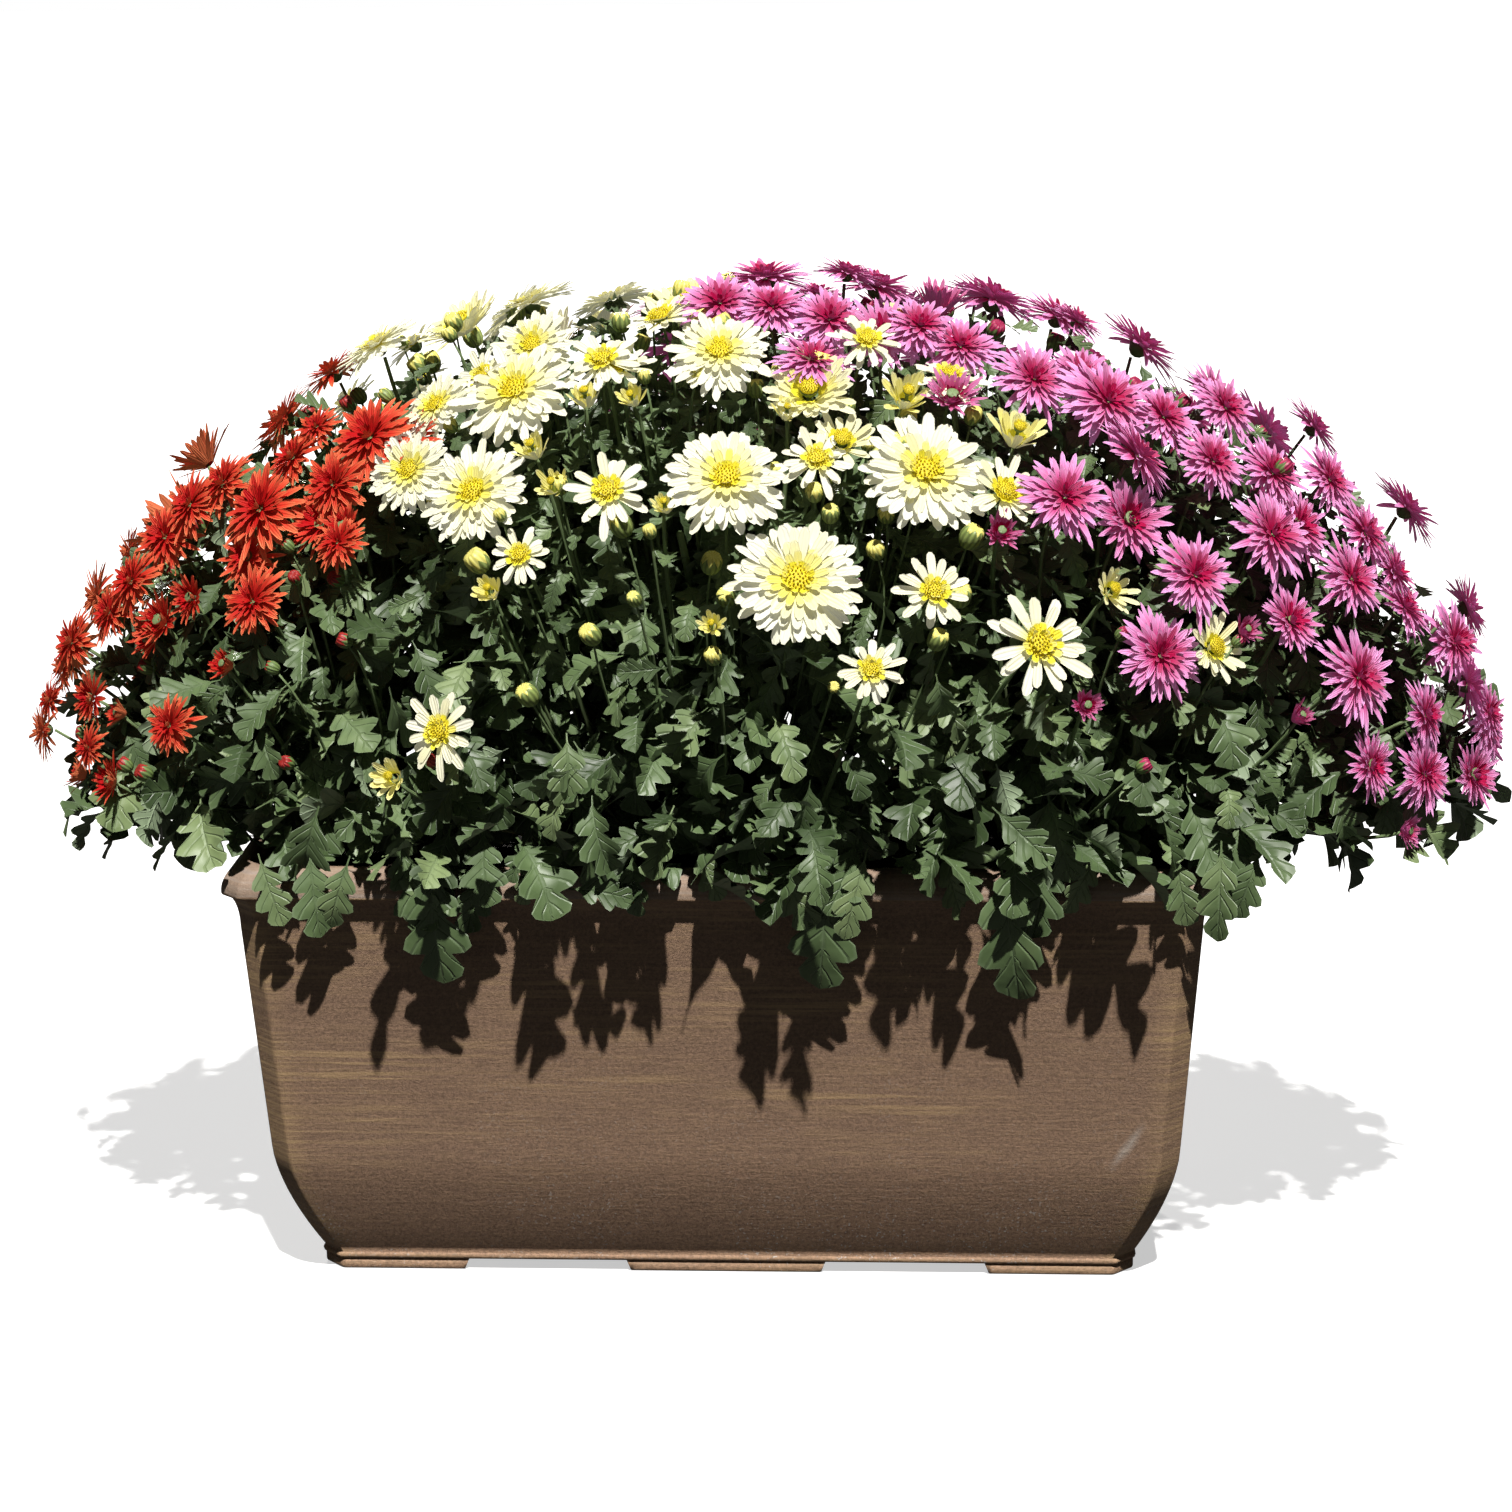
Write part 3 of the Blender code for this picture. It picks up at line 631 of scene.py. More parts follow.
def planter_profile(settings):
    """(inset, height, wear and sheen) up the outside and down the inside: plinth, body, cove, rounded lip,
    wall.

    The body draws in as wall_inset says. The cove is a quarter ellipse, and so is the lip's face. Wear and
    sheen is 1 on the crests: worn bright there, and on the lip's crest also painted sheen for the light it
    catches.
    """
    shoulder = RIM_TOP - settings.lip_height - settings.cove_height
    plinth, low, lip_out = settings.plinth_top, settings.runner_height, settings.lip_out
    foot = settings.taper + settings.tuck
    base = [
        (foot + 0.03, low, 0),
        (foot, low, 0.1),
        (foot - 0.0010, low + 0.0006, 0.3),
        (foot - 0.0014, plinth - 0.0012, 0.3),
        (foot - 0.0008, plinth, 0.0),
    ]
    rise = plinth + 0.0006 + (shoulder - plinth - 0.0006) * np.linspace(0, 1, 34) ** 1.15
    body = [(wall_inset(height, settings), height, 0.0) for height in rise]
    turn = np.linspace(0, math.pi / 2, 9)[1:]
    lip_low = RIM_TOP - settings.lip_height + 0.0022
    cove = [
        ((0.0010 - lip_out) * (1 - math.cos(angle)), shoulder + settings.cove_height * math.sin(angle), 0.0)
        for angle in turn
    ]
    lip_width = lip_out + settings.wall
    edge = [(0.0003 - lip_out, lip_low - 0.0018, 0.5), (-lip_out, lip_low - 0.0008, 0.8)]
    roll = [
        (-lip_out + lip_width * (1 - math.cos(angle)), lip_low + (RIM_TOP - lip_low) * math.sin(angle), 1.0)
        for angle in np.linspace(0, math.pi / 2, 12)
    ]
    inner_edge = [(settings.wall + 0.0005, RIM_TOP - 0.0015, 0.3)]
    drop = np.linspace(RIM_TOP - 0.012, settings.floor_top, INSIDE_ROWS)
    inside = [(wall_inset(height, settings) + settings.wall, height, 0.0) for height in drop]
    return base + body + cove + edge + roll + inner_edge + inside


def planter_surface(settings):
    """The planter: the profile carried round the box, closed across its floor above and below."""
    profile = planter_profile(settings)
    points = np.stack([box_ring(inset, height, settings) for inset, height, wear_and_sheen in profile])
    closing = points[[0, -1]] * [1, 0, 1]
    closing[..., 0] = np.clip(closing[..., 0], -FLOOR_LINE, FLOOR_LINE)
    crest = np.array([0] + [wear_and_sheen for inset, height, wear_and_sheen in profile] + [0])
    facet = np.stack([on_chamfer(ring, settings) for ring in points])
    facet[-INSIDE_ROWS:] = 0
    facet = np.pad(facet, ((1, 1), (0, 0)))
    points = np.concatenate([closing[:1], points, closing[1:]])
    wear_and_sheen = np.maximum(crest[:, None], 0.55 * facet)
    return sheets(points[None], 0), wear_and_sheen.ravel()


def runner_surface(left, right, settings):
    """A foot: the plinth's outline between two sloping ends, drawn up from a slightly smaller underside.

    Rows run from the middle of the underside out to its edge, up round a small bevel, and up the side.
    """
    foot = settings.taper + settings.tuck
    slope = 0.0028
    top = settings.runner_height + 0.0004
    rows = []
    for inset, height in ((0.0016, 0.0), (0.0004, 0.0005), (0.0, 0.0014), (0.0, top)):
        ring = box_ring(foot + inset, height, settings, 90)
        share = height / settings.runner_height
        low = left + (slope * (1 - share) + inset if left > -RUNNER_INNER else -1)
        high = right - (slope * (1 - share) + inset if right < RUNNER_INNER else -1)
        ring[:, 0] = np.clip(ring[:, 0], low, high)
        rows.append(ring)
    centre_line = rows[0] * [1, 0, 1]
    centre_line[:, 0] = np.clip(centre_line[:, 0], (left + right) / 2 - 0.02, (left + right) / 2 + 0.02)
    points = np.stack([centre_line, *rows, rows[-1] * [1, 0, 1]])
    wear_and_sheen = np.repeat(np.array([0, 0.1, 0.3, 0.3, 0.2, 0]), points.shape[1])
    return sheets(points[None], 0), wear_and_sheen


def compost_surface(settings):
    """Compost: rings from the middle out, raised by summed sines, then down inside the wall to the floor."""
    rows = []
    top = SOIL_HIGH[2] - 0.003
    gap = settings.wall + 0.0008
    brim = box_ring(wall_inset(top, settings) + gap, top, settings)
    for share in np.linspace(0, 1, 34):
        across, depth = brim[:, :2].T * share
        lumps = np.sin(across * 61 + depth * 23) + np.sin(depth * 83 - across * 37 + 1)
        lumps += 0.6 * np.sin(across * 190 + 2) * np.sin(depth * 170)
        height = top - 0.004 * share**3 + 0.0012 * lumps * (1 - share**6)
        rows.append(np.column_stack([across, depth, height]))
    bottom = settings.floor_top + 0.0008
    for height in np.linspace(top - 0.010, bottom, 16):
        rows.append(box_ring(wall_inset(height, settings) + gap, height, settings))
    rows.append(brim * [0, 0, 0] + [0, 0, bottom])
    return sheets(np.stack(rows)[None], 0)


CRUMBS = 420


def crumb_surface(rng):
    """Loose crumbs: small lumpy balls of four rings, scattered over the compost."""
    count = CRUMBS
    spread = (SOIL_HIGH[:2] - 0.012) * rng.uniform(-1, 1, (count, 2))
    middle = np.column_stack([spread, np.full(count, SOIL_HIGH[2] - 0.003) + rng.uniform(0, 0.002, count)])
    size = rng.uniform(0.0012, 0.0034, count)
    polar = np.linspace(0, math.pi, 5)
    turn = np.linspace(0, math.tau, 7)
    out, height = np.sin(polar)[:, None], np.cos(polar)[:, None]
    ball = np.stack([out * np.cos(turn), out * np.sin(turn), height + 0 * turn], -1)
    stretch = rng.uniform(0.6, 1.3, (count, 1, 1, 3))
    points = middle[:, None, None] + ball[None] * size[:, None, None, None] * stretch
    return sheets(points, rng.integers(0, BANDS, count))


# --- growth ------------------------------------------------------------------------------------------


def across_frames(axes):
    """Two directions at right angles to each axis and to each other."""
    helper = np.where(np.abs(axes[..., 2:3]) < 0.9, [0.0, 0.0, 1.0], [1.0, 0.0, 0.0])
    first = unit(np.cross(axes, helper))
    return first, np.cross(axes, first)


def circles(axes, turns):
    """Points (..., turns, 3) of unit circles round axes (..., 3), at the given turns."""
    first, second = across_frames(axes)
    return np.cos(turns)[:, None] * first[..., None, :] + np.sin(turns)[:, None] * second[..., None, :]


def turned(centres, axes, radii, out, up, sides):
    """Round shapes (count, rows, sides + 1, 3): circles about their axes, one row above another.

    Out and up are shares of the radii, a number for each row. Out may also differ round each circle.
    """
    around = circles(axes, np.linspace(0, math.tau, sides + 1))[:, None]
    out, up = np.reshape(out, (1, len(up), -1, 1)), np.reshape(up, (1, -1, 1, 1))
    radii = radii[:, None, None, None]
    return centres[:, None, None] + around * out * radii + axes[:, None, None] * up * radii


def tubes(paths, radii, bands, sides=6):
    """Closed tubes: circles of the given radii about paths (count, points, 3), pointed at both ends."""
    paths = np.concatenate([paths[:, :1], paths, paths[:, -1:]], axis=1)
    radii = np.concatenate([0 * radii[:, :1], radii, 0 * radii[:, -1:]], axis=1)
    heading = unit(np.gradient(paths, axis=1) + 1e-9)
    ring = circles(heading, np.linspace(0, math.tau, sides + 1))
    return sheets(paths[:, :, None] + ring * radii[:, :, None, None], bands)


def curved(starts, bends, ends, steps):
    """Paths (count, steps, 3) of the curve (1-t)^2 start + 2t(1-t) bend + t^2 end."""
    t = np.linspace(0, 1, steps)[None, :, None]
    return starts[:, None] * (1 - t) ** 2 + bends[:, None] * 2 * t * (1 - t) + ends[:, None] * t * t


# Leaf outline: share of the length, and half width there as a share of the length
LEAF_STATIONS = np.array((
    (0.00, 0.012), (0.13, 0.014), (0.20, 0.070), (0.27, 0.215), (0.33, 0.250),
    (0.39, 0.215), (0.44, 0.100), (0.52, 0.270), (0.59, 0.300), (0.66, 0.230),
    (0.71, 0.115), (0.80, 0.200), (0.87, 0.170), (0.94, 0.085), (1.00, 0.004),
))
LOBE_SLANT = 0.42


def leaf_blades(bases, headings, faces_up, lengths, widths, droops, folds, twists, columns=5):
    """Lobed leaves: half width from LEAF_STATIONS, lobes slanting forward, on an arc that droops.

    Along the leaf the heading turns down evenly by droop; across it the blade rises from the midrib by fold
    times the distance from it, and turns about the midrib evenly by twist.
    """
    along, half = LEAF_STATIONS.T
    across = np.linspace(-1, 1, columns)
    angle = droops[:, None] * along[None]
    step = np.diff(along, prepend=0)
    forward = np.cumsum(np.cos(angle) * step, axis=1) * lengths[:, None]
    downward = np.cumsum(np.sin(angle) * step, axis=1) * lengths[:, None]
    sideways = unit(np.cross(faces_up, headings))
    width = half[None, :, None] * across * (lengths * widths)[:, None, None]
    slant = np.abs(width) * LOBE_SLANT
    lift = np.abs(width) * folds[:, None, None] + 0.06 * np.sin(along * 22)[None, :, None] * np.abs(width)
    turn = (twists[:, None] * along[None])[:, :, None]
    over, up = width * np.cos(turn) - lift * np.sin(turn), width * np.sin(turn) + lift * np.cos(turn)
    ahead = forward[:, :, None] + slant * np.cos(angle)[:, :, None] + up * np.sin(angle)[:, :, None]
    fall = downward[:, :, None] + slant * np.sin(angle)[:, :, None] - up * np.cos(angle)[:, :, None]
    return (
        bases[:, None, None]
        + headings[:, None, None] * ahead[..., None]
        + sideways[:, None, None] * over[..., None]
        - faces_up[:, None, None] * fall[..., None]
    )


def clear_of_box(points):
    """Lifts any point that lies inside the planter's outline, and below its rim, to just above the rim."""
    inside = (np.abs(points[..., 0]) < BOX_HIGH[0] + 0.004) & (np.abs(points[..., 1]) < BOX_HIGH[1] + 0.004)
    floor = np.where(inside, RIM_TOP + 0.003, BOX_LOW[2])
    points[..., 2] = np.maximum(points[..., 2], floor)
    return points


# Half width of a petal along its length, as a share of its greatest
PETAL_SWELL = {
    "blunt": (0.42, 0.66, 0.88, 1.00, 0.84, 0.30),
    "pointed": (0.48, 0.78, 1.00, 0.94, 0.62, 0.10),
}


def petals(shape, centre, facing, azimuths, starts, lifts, lengths, widths, rises, curls, bands):
    """Strap petals round a flower's facing line.

    Each runs out from starts, climbing at rise and turning by curl over its length; its half width swells and
    narrows as its shape says, and its edges stand up by a quarter of the half width.
    """
    outward = circles(facing, azimuths)
    sideways = np.cross(facing, outward)
    along = np.array([0, 0.22, 0.45, 0.70, 0.90, 1.0])
    swell = np.array(PETAL_SWELL[shape])
    across = np.array([-1, 0, 1.0])
    angle = rises[:, None] + curls[:, None] * along[None]
    step = np.diff(along, prepend=0)
    out = starts[:, None] + lengths[:, None] * np.cumsum(np.cos(angle) * step, axis=1)
    up = lifts[:, None] + lengths[:, None] * np.cumsum(np.sin(angle) * step, axis=1)
    half = widths[:, None, None] * swell[:, None]
    cup = 0.26 * half * (across**2)
    reach = out[:, :, None] - cup * np.sin(angle)[:, :, None]
    rise = up[:, :, None] + cup * np.cos(angle)[:, :, None]
    points = (
        centre
        + outward[:, None, None] * reach[..., None]
        + facing * rise[..., None]
        + sideways[:, None, None] * (half * across)[..., None]
    )
    return sheets(points, bands, flip=True)


# Rings of petals, from the outside in: count, then as shares of the flower's radius start, lift, length and
# half width, then rise and curl in degrees and the ring's shade from 0 to 1
RINGS = {
    "white": (
        (24, 0.17, 0.00, 0.83, 0.092, 1, -7, 0.00),
        (24, 0.17, 0.02, 0.76, 0.090, 5, -8, 0.00),
        (21, 0.17, 0.04, 0.64, 0.084, 10, -9, 0.12),
        (18, 0.17, 0.06, 0.48, 0.076, 17, -10, 0.42),
        (15, 0.15, 0.07, 0.33, 0.064, 27, -8, 0.80),
        (12, 0.12, 0.08, 0.20, 0.052, 40, 0, 1.00),
    ),
    "white_small": (
        (11, 0.20, 0.00, 0.80, 0.118, 3, -8, 0.00),
        (8, 0.20, 0.03, 0.66, 0.110, 13, -10, 0.10),
        (13, 0.17, 0.06, 0.28, 0.080, 28, -6, 1.00),
        (10, 0.10, 0.08, 0.20, 0.066, 50, 0, 1.00),
    ),
    "pink": (
        (23, 0.12, 0.00, 0.88, 0.074, -2, -8, 0.00),
        (23, 0.12, 0.02, 0.82, 0.074, 5, -8, 0.00),
        (21, 0.11, 0.04, 0.72, 0.071, 12, -8, 0.06),
        (18, 0.10, 0.06, 0.58, 0.066, 21, -8, 0.42),
        (14, 0.08, 0.08, 0.42, 0.060, 33, -6, 0.90),
        (10, 0.05, 0.09, 0.27, 0.052, 48, 0, 1.00),
        (6, 0.02, 0.09, 0.17, 0.042, 70, 0, 1.00),
    ),
    "orange": (
        (19, 0.13, 0.00, 0.87, 0.080, -5, -10, 0.00),
        (19, 0.13, 0.02, 0.80, 0.080, 4, -10, 0.00),
        (17, 0.12, 0.05, 0.68, 0.076, 13, -10, 0.35),
        (15, 0.10, 0.07, 0.54, 0.068, 25, -8, 0.80),
        (11, 0.07, 0.09, 0.37, 0.058, 42, -4, 0.95),
        (7, 0.03, 0.10, 0.22, 0.048, 64, 0, 1.00),
    ),
}

# Flowers below this radius have few petals; below this height the limit is larger
SMALL_FLOWER = 0.0225
LOW_SMALL_FLOWER = 0.031
LOW_FLOWER = 0.48

# What a quite closed flower has more of than an open one: length, depth of its petals' foot, rise, and shade
CLOSED_LENGTH = 0.7
CLOSED_DEPTH = 0.85
CLOSED_RISE = math.radians(78)
CLOSED_SHADE = 0.9
OPEN_DEPTH = 0.22

# Below this openness a flower shows fewer rings
HALF_OPEN = 0.75

# Discs as shares of their flower's radius, and their florets
DISC_SHARE = {"white": 0.25, "white_small": 0.30}
FLORETS = 60


def few_petalled(crown, radius):
    """Small flowers have few petals, and so have middling ones low on the plant."""
    return radius < (SMALL_FLOWER if crown[2] > LOW_FLOWER else LOW_SMALL_FLOWER)


def flower_surface(kind, head, rng):
    """A flower head: all its kind's rings, a little uneven. A half-open one has fewer rings, more upright."""
    crown, facing, radius, openness = head
    shape = "blunt" if kind == "white" else "pointed"
    sparse = few_petalled(crown, radius)
    if kind == "white" and sparse:
        kind = "white_small"
    closed = 1 - openness
    radius = radius * (1 + CLOSED_LENGTH * closed)
    centre = crown - facing * radius * (OPEN_DEPTH + CLOSED_DEPTH * closed)
    closing = closed * CLOSED_RISE
    parts = []
    rings = RINGS[kind]
    if openness < HALF_OPEN:
        rings = rings[1:-1] if len(rings) > 4 else rings[:-1]
    for number, (count, start, lift, length, width, rise, curl, shade) in enumerate(rings):
        azimuths = (np.arange(count) + 0.5 * (number % 2) + rng.normal(0, 0.13, count)) * math.tau / count
        ones = np.ones(count)
        uneven = rng.normal(1, 0.14 if sparse else 0.08, count)
        shades = (shade * 0.86 + CLOSED_SHADE * closed + rng.uniform(0, 0.14, count)) * (BANDS - 1)
        parts.append(
            petals(
                shape,
                centre,
                facing,
                azimuths,
                start * radius * ones,
                lift * radius * ones,
                length * radius * uneven,
                width * radius * rng.normal(1, 0.08, count),
                math.radians(rise) + closing + rng.normal(0, 0.09, count),
                math.radians(curl) + closing * 0.25 + rng.normal(0, 0.14, count),
                np.clip(np.round(shades), 0, BANDS - 1),
            )
        )
    return merged(parts)


def disc_surface(heads):
    """Discs of florets: a low dome, and round it small pegs a golden angle apart, taller towards the edge."""
    parts = []
    polar = np.linspace(0, math.pi, 7)
    step = np.arange(FLORETS) + 0.5
    reach = np.sqrt(step / FLORETS)
    for crown, facing, radius, openness in heads:
        share = DISC_SHARE["white_small" if few_petalled(crown, radius) else "white"]
        size = share * (0.75 + 0.25 * openness) * radius
        centre = crown - facing * radius * 0.16
        flat, high = 0.95 * np.sin(polar), -0.42 * np.cos(polar)
        dome = turned(centre[None], facing[None], np.array([size]), flat, high, 12)
        parts.append(sheets(dome, 6))
        out = circles(facing, step * GOLDEN_ANGLE)
        lift = size * 0.40 * np.sqrt(1 - 0.9 * reach**2)
        foot = centre + out * (reach * size * 0.95)[:, None] + facing * lift[:, None]
        lean = unit(facing + out * (0.55 * reach)[:, None])
        tip = foot + lean * (size * (0.10 + 0.17 * reach))[:, None]
        thick = np.full((FLORETS, 2), 0.055 * size) * [1.0, 1.25]
        parts.append(tubes(np.stack([foot, tip], 1), thick, np.round(2 + 3 * reach), 4))
    return merged(parts)


def cad_heads(plant):
    """The flower that each CAD bloom stands for: name, and crown, facing line, radius and openness.

    A bloom's own line leads away from the middle of the canopy; its flower leans from that towards the light.
    """
    heads = {}
    for name in sorted(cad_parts):
        if name.startswith(plant + "_bloom_"):
            points = node_points(name)
            middle = points.mean(axis=0)
            facing = unit(middle - CANOPY_MIDDLE)
            height = (points - middle) @ facing
            off_line = points - middle - height[:, None] * facing
            radius = np.linalg.norm(off_line, axis=1).max() / HEAD_SHARE
            heads[name] = (middle + facing * height.max(), leaned(facing), radius, 1.0)
    return heads


# Evenly spread spots for flowers over the whole canopy, and the heights above which each plant has buds
BACK_SPOTS = 300
BUD_SPOTS = 900
BUD_LOWEST = {"orange": 0.14, "white": 0.34, "pink": 0.14}
BUD_COUNTS = {"orange": 26, "white": 76, "pink": 34}
BUD_LARGEST = {"orange": 0.0054, "white": 0.0068, "pink": 0.0054}


def further_heads(plant, rng):
    """More flowers: the listed ones on the front, and evenly spread ones on the crown and the back."""
    heads = []
    for across, up, spread, sunk, openness in FURTHER_FLOWERS[plant]:
        crown = front_point(across / 1000, up / 1000)
        facing = unit(crown - CANOPY_MIDDLE)
        tilt = leaned(unit(facing + rng.normal(0, 0.16, 3)))
        heads.append((crown - facing * sunk / 1000, tilt, spread / 2000, openness))
    taken = np.array([head[0] for head in heads + list(cad_heads(plant).values())])
    reach = [head[2] for head in heads + list(cad_heads(plant).values())]
    directions = canopy_spiral(BACK_SPOTS, 0.10)
    places = CANOPY_MIDDLE + directions * CANOPY_RADII
    own = plants_at(places) == PLANTS.index(plant)
    for place, ours in zip(places, own):
        radius = rng.uniform(0.018, 0.031)
        openness = 1.0 if rng.random() < 0.8 else rng.uniform(0.4, 0.8)
        nudge = rng.normal(0, 0.006, 3)
        if not ours or place[1] < CANOPY_MIDDLE[1] - 0.02:
            continue
        crown = place + nudge
        gaps = np.linalg.norm(taken - crown, axis=1) - 0.82 * (np.array(reach) + radius)
        if gaps.min() > 0:
            facing = unit(unit(crown - CANOPY_MIDDLE) + rng.normal(0, 0.12, 3))
            heads.append((crown - facing * 0.004, facing, radius, openness))
            taken = np.vstack([taken, crown])
            reach.append(radius)
    return heads


def bud_heads(plant, rng):
    """Buds between the flowers: crown, facing line and radius."""
    places = CANOPY_MIDDLE + canopy_spiral(BUD_SPOTS, BUD_LOWEST[plant]) * CANOPY_RADII
    places = places[plants_at(places) == PLANTS.index(plant)]
    chosen = rng.choice(len(places), BUD_COUNTS[plant], replace=False)
    crowns = places[chosen] + rng.normal(0, 0.006, (len(chosen), 3))
    facing = unit(unit(crowns - CANOPY_MIDDLE) + [0, 0, 0.35] + rng.normal(0, 0.25, crowns.shape))
    crowns = crowns - facing * rng.uniform(0.008, 0.028, (len(chosen), 1))
    return crowns, facing, rng.uniform(0.0034, BUD_LARGEST[plant], len(chosen))


def bud_surface(crowns, facing, radii, bands):
    """Buds: egg shapes with a flattened, sunken top, their sides drawn in between nine furled petals."""
    polar = np.linspace(math.pi, 0, 9)
    turn = np.linspace(0, math.tau, 19)
    upper = np.clip(np.cos(polar), 0, 1)
    height = 1.25 * np.cos(polar) - 0.55 * upper**6
    furl = 1 - 0.10 * upper[:, None] * (0.5 - 0.5 * np.cos(turn * 9))[None]
    out = (np.sin(polar) ** 0.8)[:, None] * furl
    return sheets(turned(crowns, facing, radii, out, height, len(turn) - 1), bands)


def calyx_surface(heads):
    """Green cups under the flowers: a bowl that narrows to the stalk, as wide as a quarter of the flower."""
    crowns = np.array([crown - facing * radius * 0.25 for crown, facing, radius, openness in heads])
    facing = np.array([head[1] for head in heads])
    radii = np.array([head[2] for head in heads])
    out = (0, 0.06, 0.14, 0.20, 0.23, 0.18, 0)
    up = (-0.20, -0.20, -0.15, -0.06, 0.03, 0.05, 0.03)
    return sheets(turned(crowns, facing, radii, out, up, 10), 5)


def stalk_surface(plant, crowns, facing, radii, thick, rng):
    """Flower stalks: each leaves its head straight back, then bends down and in towards the plant's foot."""
    foot = np.array([*PLANT_FEET[plant], SOIL_HIGH[2] + 0.05])
    starts = crowns - facing * (radii * 0.3)[:, None]
    inward = foot - starts
    reach = np.minimum(np.linalg.norm(inward, axis=1), 0.14)[:, None]
    bends = starts - facing * reach * 0.20 - [0, 0, 0.015] + rng.normal(0, 0.005, starts.shape)
    ends = starts + unit(unit(inward) + [0, 0, -0.9]) * reach
    ends[:, 2] = np.maximum(ends[:, 2], LEAF_SKIRT + 0.01)
    paths = curved(ends, bends, starts, 7)
    thickness = thick * np.linspace(1.25, 0.8, 7)[None] * rng.uniform(0.85, 1.15, (len(starts), 1))
    return tubes(clear_of_box(paths), thickness, rng.integers(0, BANDS, len(starts)), 6)


MAIN_STEMS = 26


def main_stems(plant, rng):
    """The plant's woody crown of stems, fanning from its foot to just under the leaves, each an arc."""
    tips = CANOPY_MIDDLE + canopy_spiral(150, 0.20) * (CANOPY_RADII - 0.055)
    tips = tips[plants_at(tips) == PLANTS.index(plant)]
    tips = tips[np.linspace(0, len(tips) - 1, MAIN_STEMS).astype(int)]
    foot = np.array([*PLANT_FEET[plant], SOIL_HIGH[2] - 0.006])
    away = unit((tips - foot) * [1, 1, 0])
    starts = foot + away * rng.uniform(0.006, 0.022, (MAIN_STEMS, 1))
    bends = foot + (tips - foot) * [0.35, 0.35, 0.62]
    paths = curved(starts, bends, tips, 9)
    thickness = np.linspace(0.0042, 0.0019, 9)[None] * rng.uniform(0.7, 1.1, (MAIN_STEMS, 1))
    return tubes(paths, thickness, rng.integers(0, 3, MAIN_STEMS), 7)


# Layers of leaves, from the outside in: count, least and greatest depth under the canopy, how much the leaves
# shrink up to the crown, and points across a leaf
LEAF_LAYERS = ((1100, 0.014, 0.046, 0.62, 5), (2000, 0.042, 0.078, 0.45, 3), (1900, 0.078, 0.130, 0.15, 3))


def leaf_surface(plant, settings, rng):
    """The plant's leaves in three layers.

    They shrink from the skirt to the crown. Most lie nearly level, some hang, and all head outwards and down.
    """
    parts = []
    for number, shallow, deep, shrink, columns in LEAF_LAYERS:
        directions = unit(canopy_spiral(number, -0.015) + rng.normal(0, 0.035, (number, 3)))
        depth = rng.uniform(shallow, deep, (number, 1))
        places = CANOPY_MIDDLE + directions * (CANOPY_RADII - depth)
        middles = places[plants_at(places + rng.normal(0, 0.012, places.shape)) == PLANTS.index(plant)]
        count = len(middles)
        height = np.clip((middles[:, 2:] - LEAF_SKIRT) / (LEAF_HIGH[2] - LEAF_SKIRT), 0, 1)
        lengths = rng.uniform(0.62, 1.25, count) * settings.leaf_length * (1.10 - shrink * height[:, 0])
        outward = unit((middles - CANOPY_MIDDLE) / CANOPY_RADII**2)
        upwards = rng.uniform(0.10, 1, (count, 1)) ** 0.6
        faces_up = unit(outward * (1 - upwards) + [0, 0, 1] * upwards + rng.normal(0, 0.36, middles.shape))
        fall = np.concatenate([np.zeros((count, 2)), -0.75 + 0.75 * height], axis=1)
        headings = unit(outward * [1, 1, 0]) * 0.7 + fall + rng.normal(0, 0.50, middles.shape)
        headings = unit(headings - (headings * faces_up).sum(-1, keepdims=True) * faces_up)
        blades = leaf_blades(
            middles - headings * lengths[:, None] * 0.5,
            headings,
            faces_up,
            lengths,
            rng.uniform(0.8, 1.15, count),
            rng.uniform(0.2, 1.3, count),
            rng.uniform(0.05, 0.7, count),
            rng.normal(0, 0.5, count),
            columns,
        )
        shades = np.clip(rng.normal(3.2, 2.0, count).round(), 0, BANDS - 1)
        parts.append(sheets(clear_of_box(blades), shades, flip=True))
    return merged(parts)


def hanging_leaf(across, depth, up, length, lean, rng):
    """One leaf that falls over the front rim: it heads outwards from its foot, bends over and hangs."""
    base = np.array([[across, depth, up]])
    slope = math.radians(lean)
    heading = unit(np.array([[math.sin(slope) * 0.8, -0.50, -math.cos(slope)]]))
    side = np.array([[math.cos(slope), 0.15 * math.sin(slope), math.sin(slope)]])
    faces_up = unit(np.cross(side, heading))
    faces_up = faces_up * np.sign((faces_up * [0, -1, 0.3]).sum())
    ones = np.ones(1)
    return leaf_blades(
        base,
        heading,
        faces_up,
        ones * length,
        ones * rng.uniform(0.72, 0.95),
        ones * rng.uniform(0.5, 0.9),
        ones * rng.uniform(-0.1, 0.5),
        ones * rng.normal(0, 0.45),
    )


# --- settings ----------------------------------------------------------------------------------------


def colour_prop(label, words, value):
    """A colour that the user can change."""
    look = {"subtype": "COLOR", "size": 3, "min": 0, "max": 1}
    return FloatVectorProperty(name=label, description=words, default=value, **look)


def length_prop(label, words, value):
    """A length in metres that the user can change."""
    return FloatProperty(name=label, description=words, default=value, unit="LENGTH", precision=4)


def angle_prop(label, words, degrees):
    """An angle that the user can change."""
    return FloatProperty(name=label, description=words, default=math.radians(degrees), unit="ROTATION")


def number_prop(label, words, value):
    """A plain number that the user can change."""
    return FloatProperty(name=label, description=words, default=value)


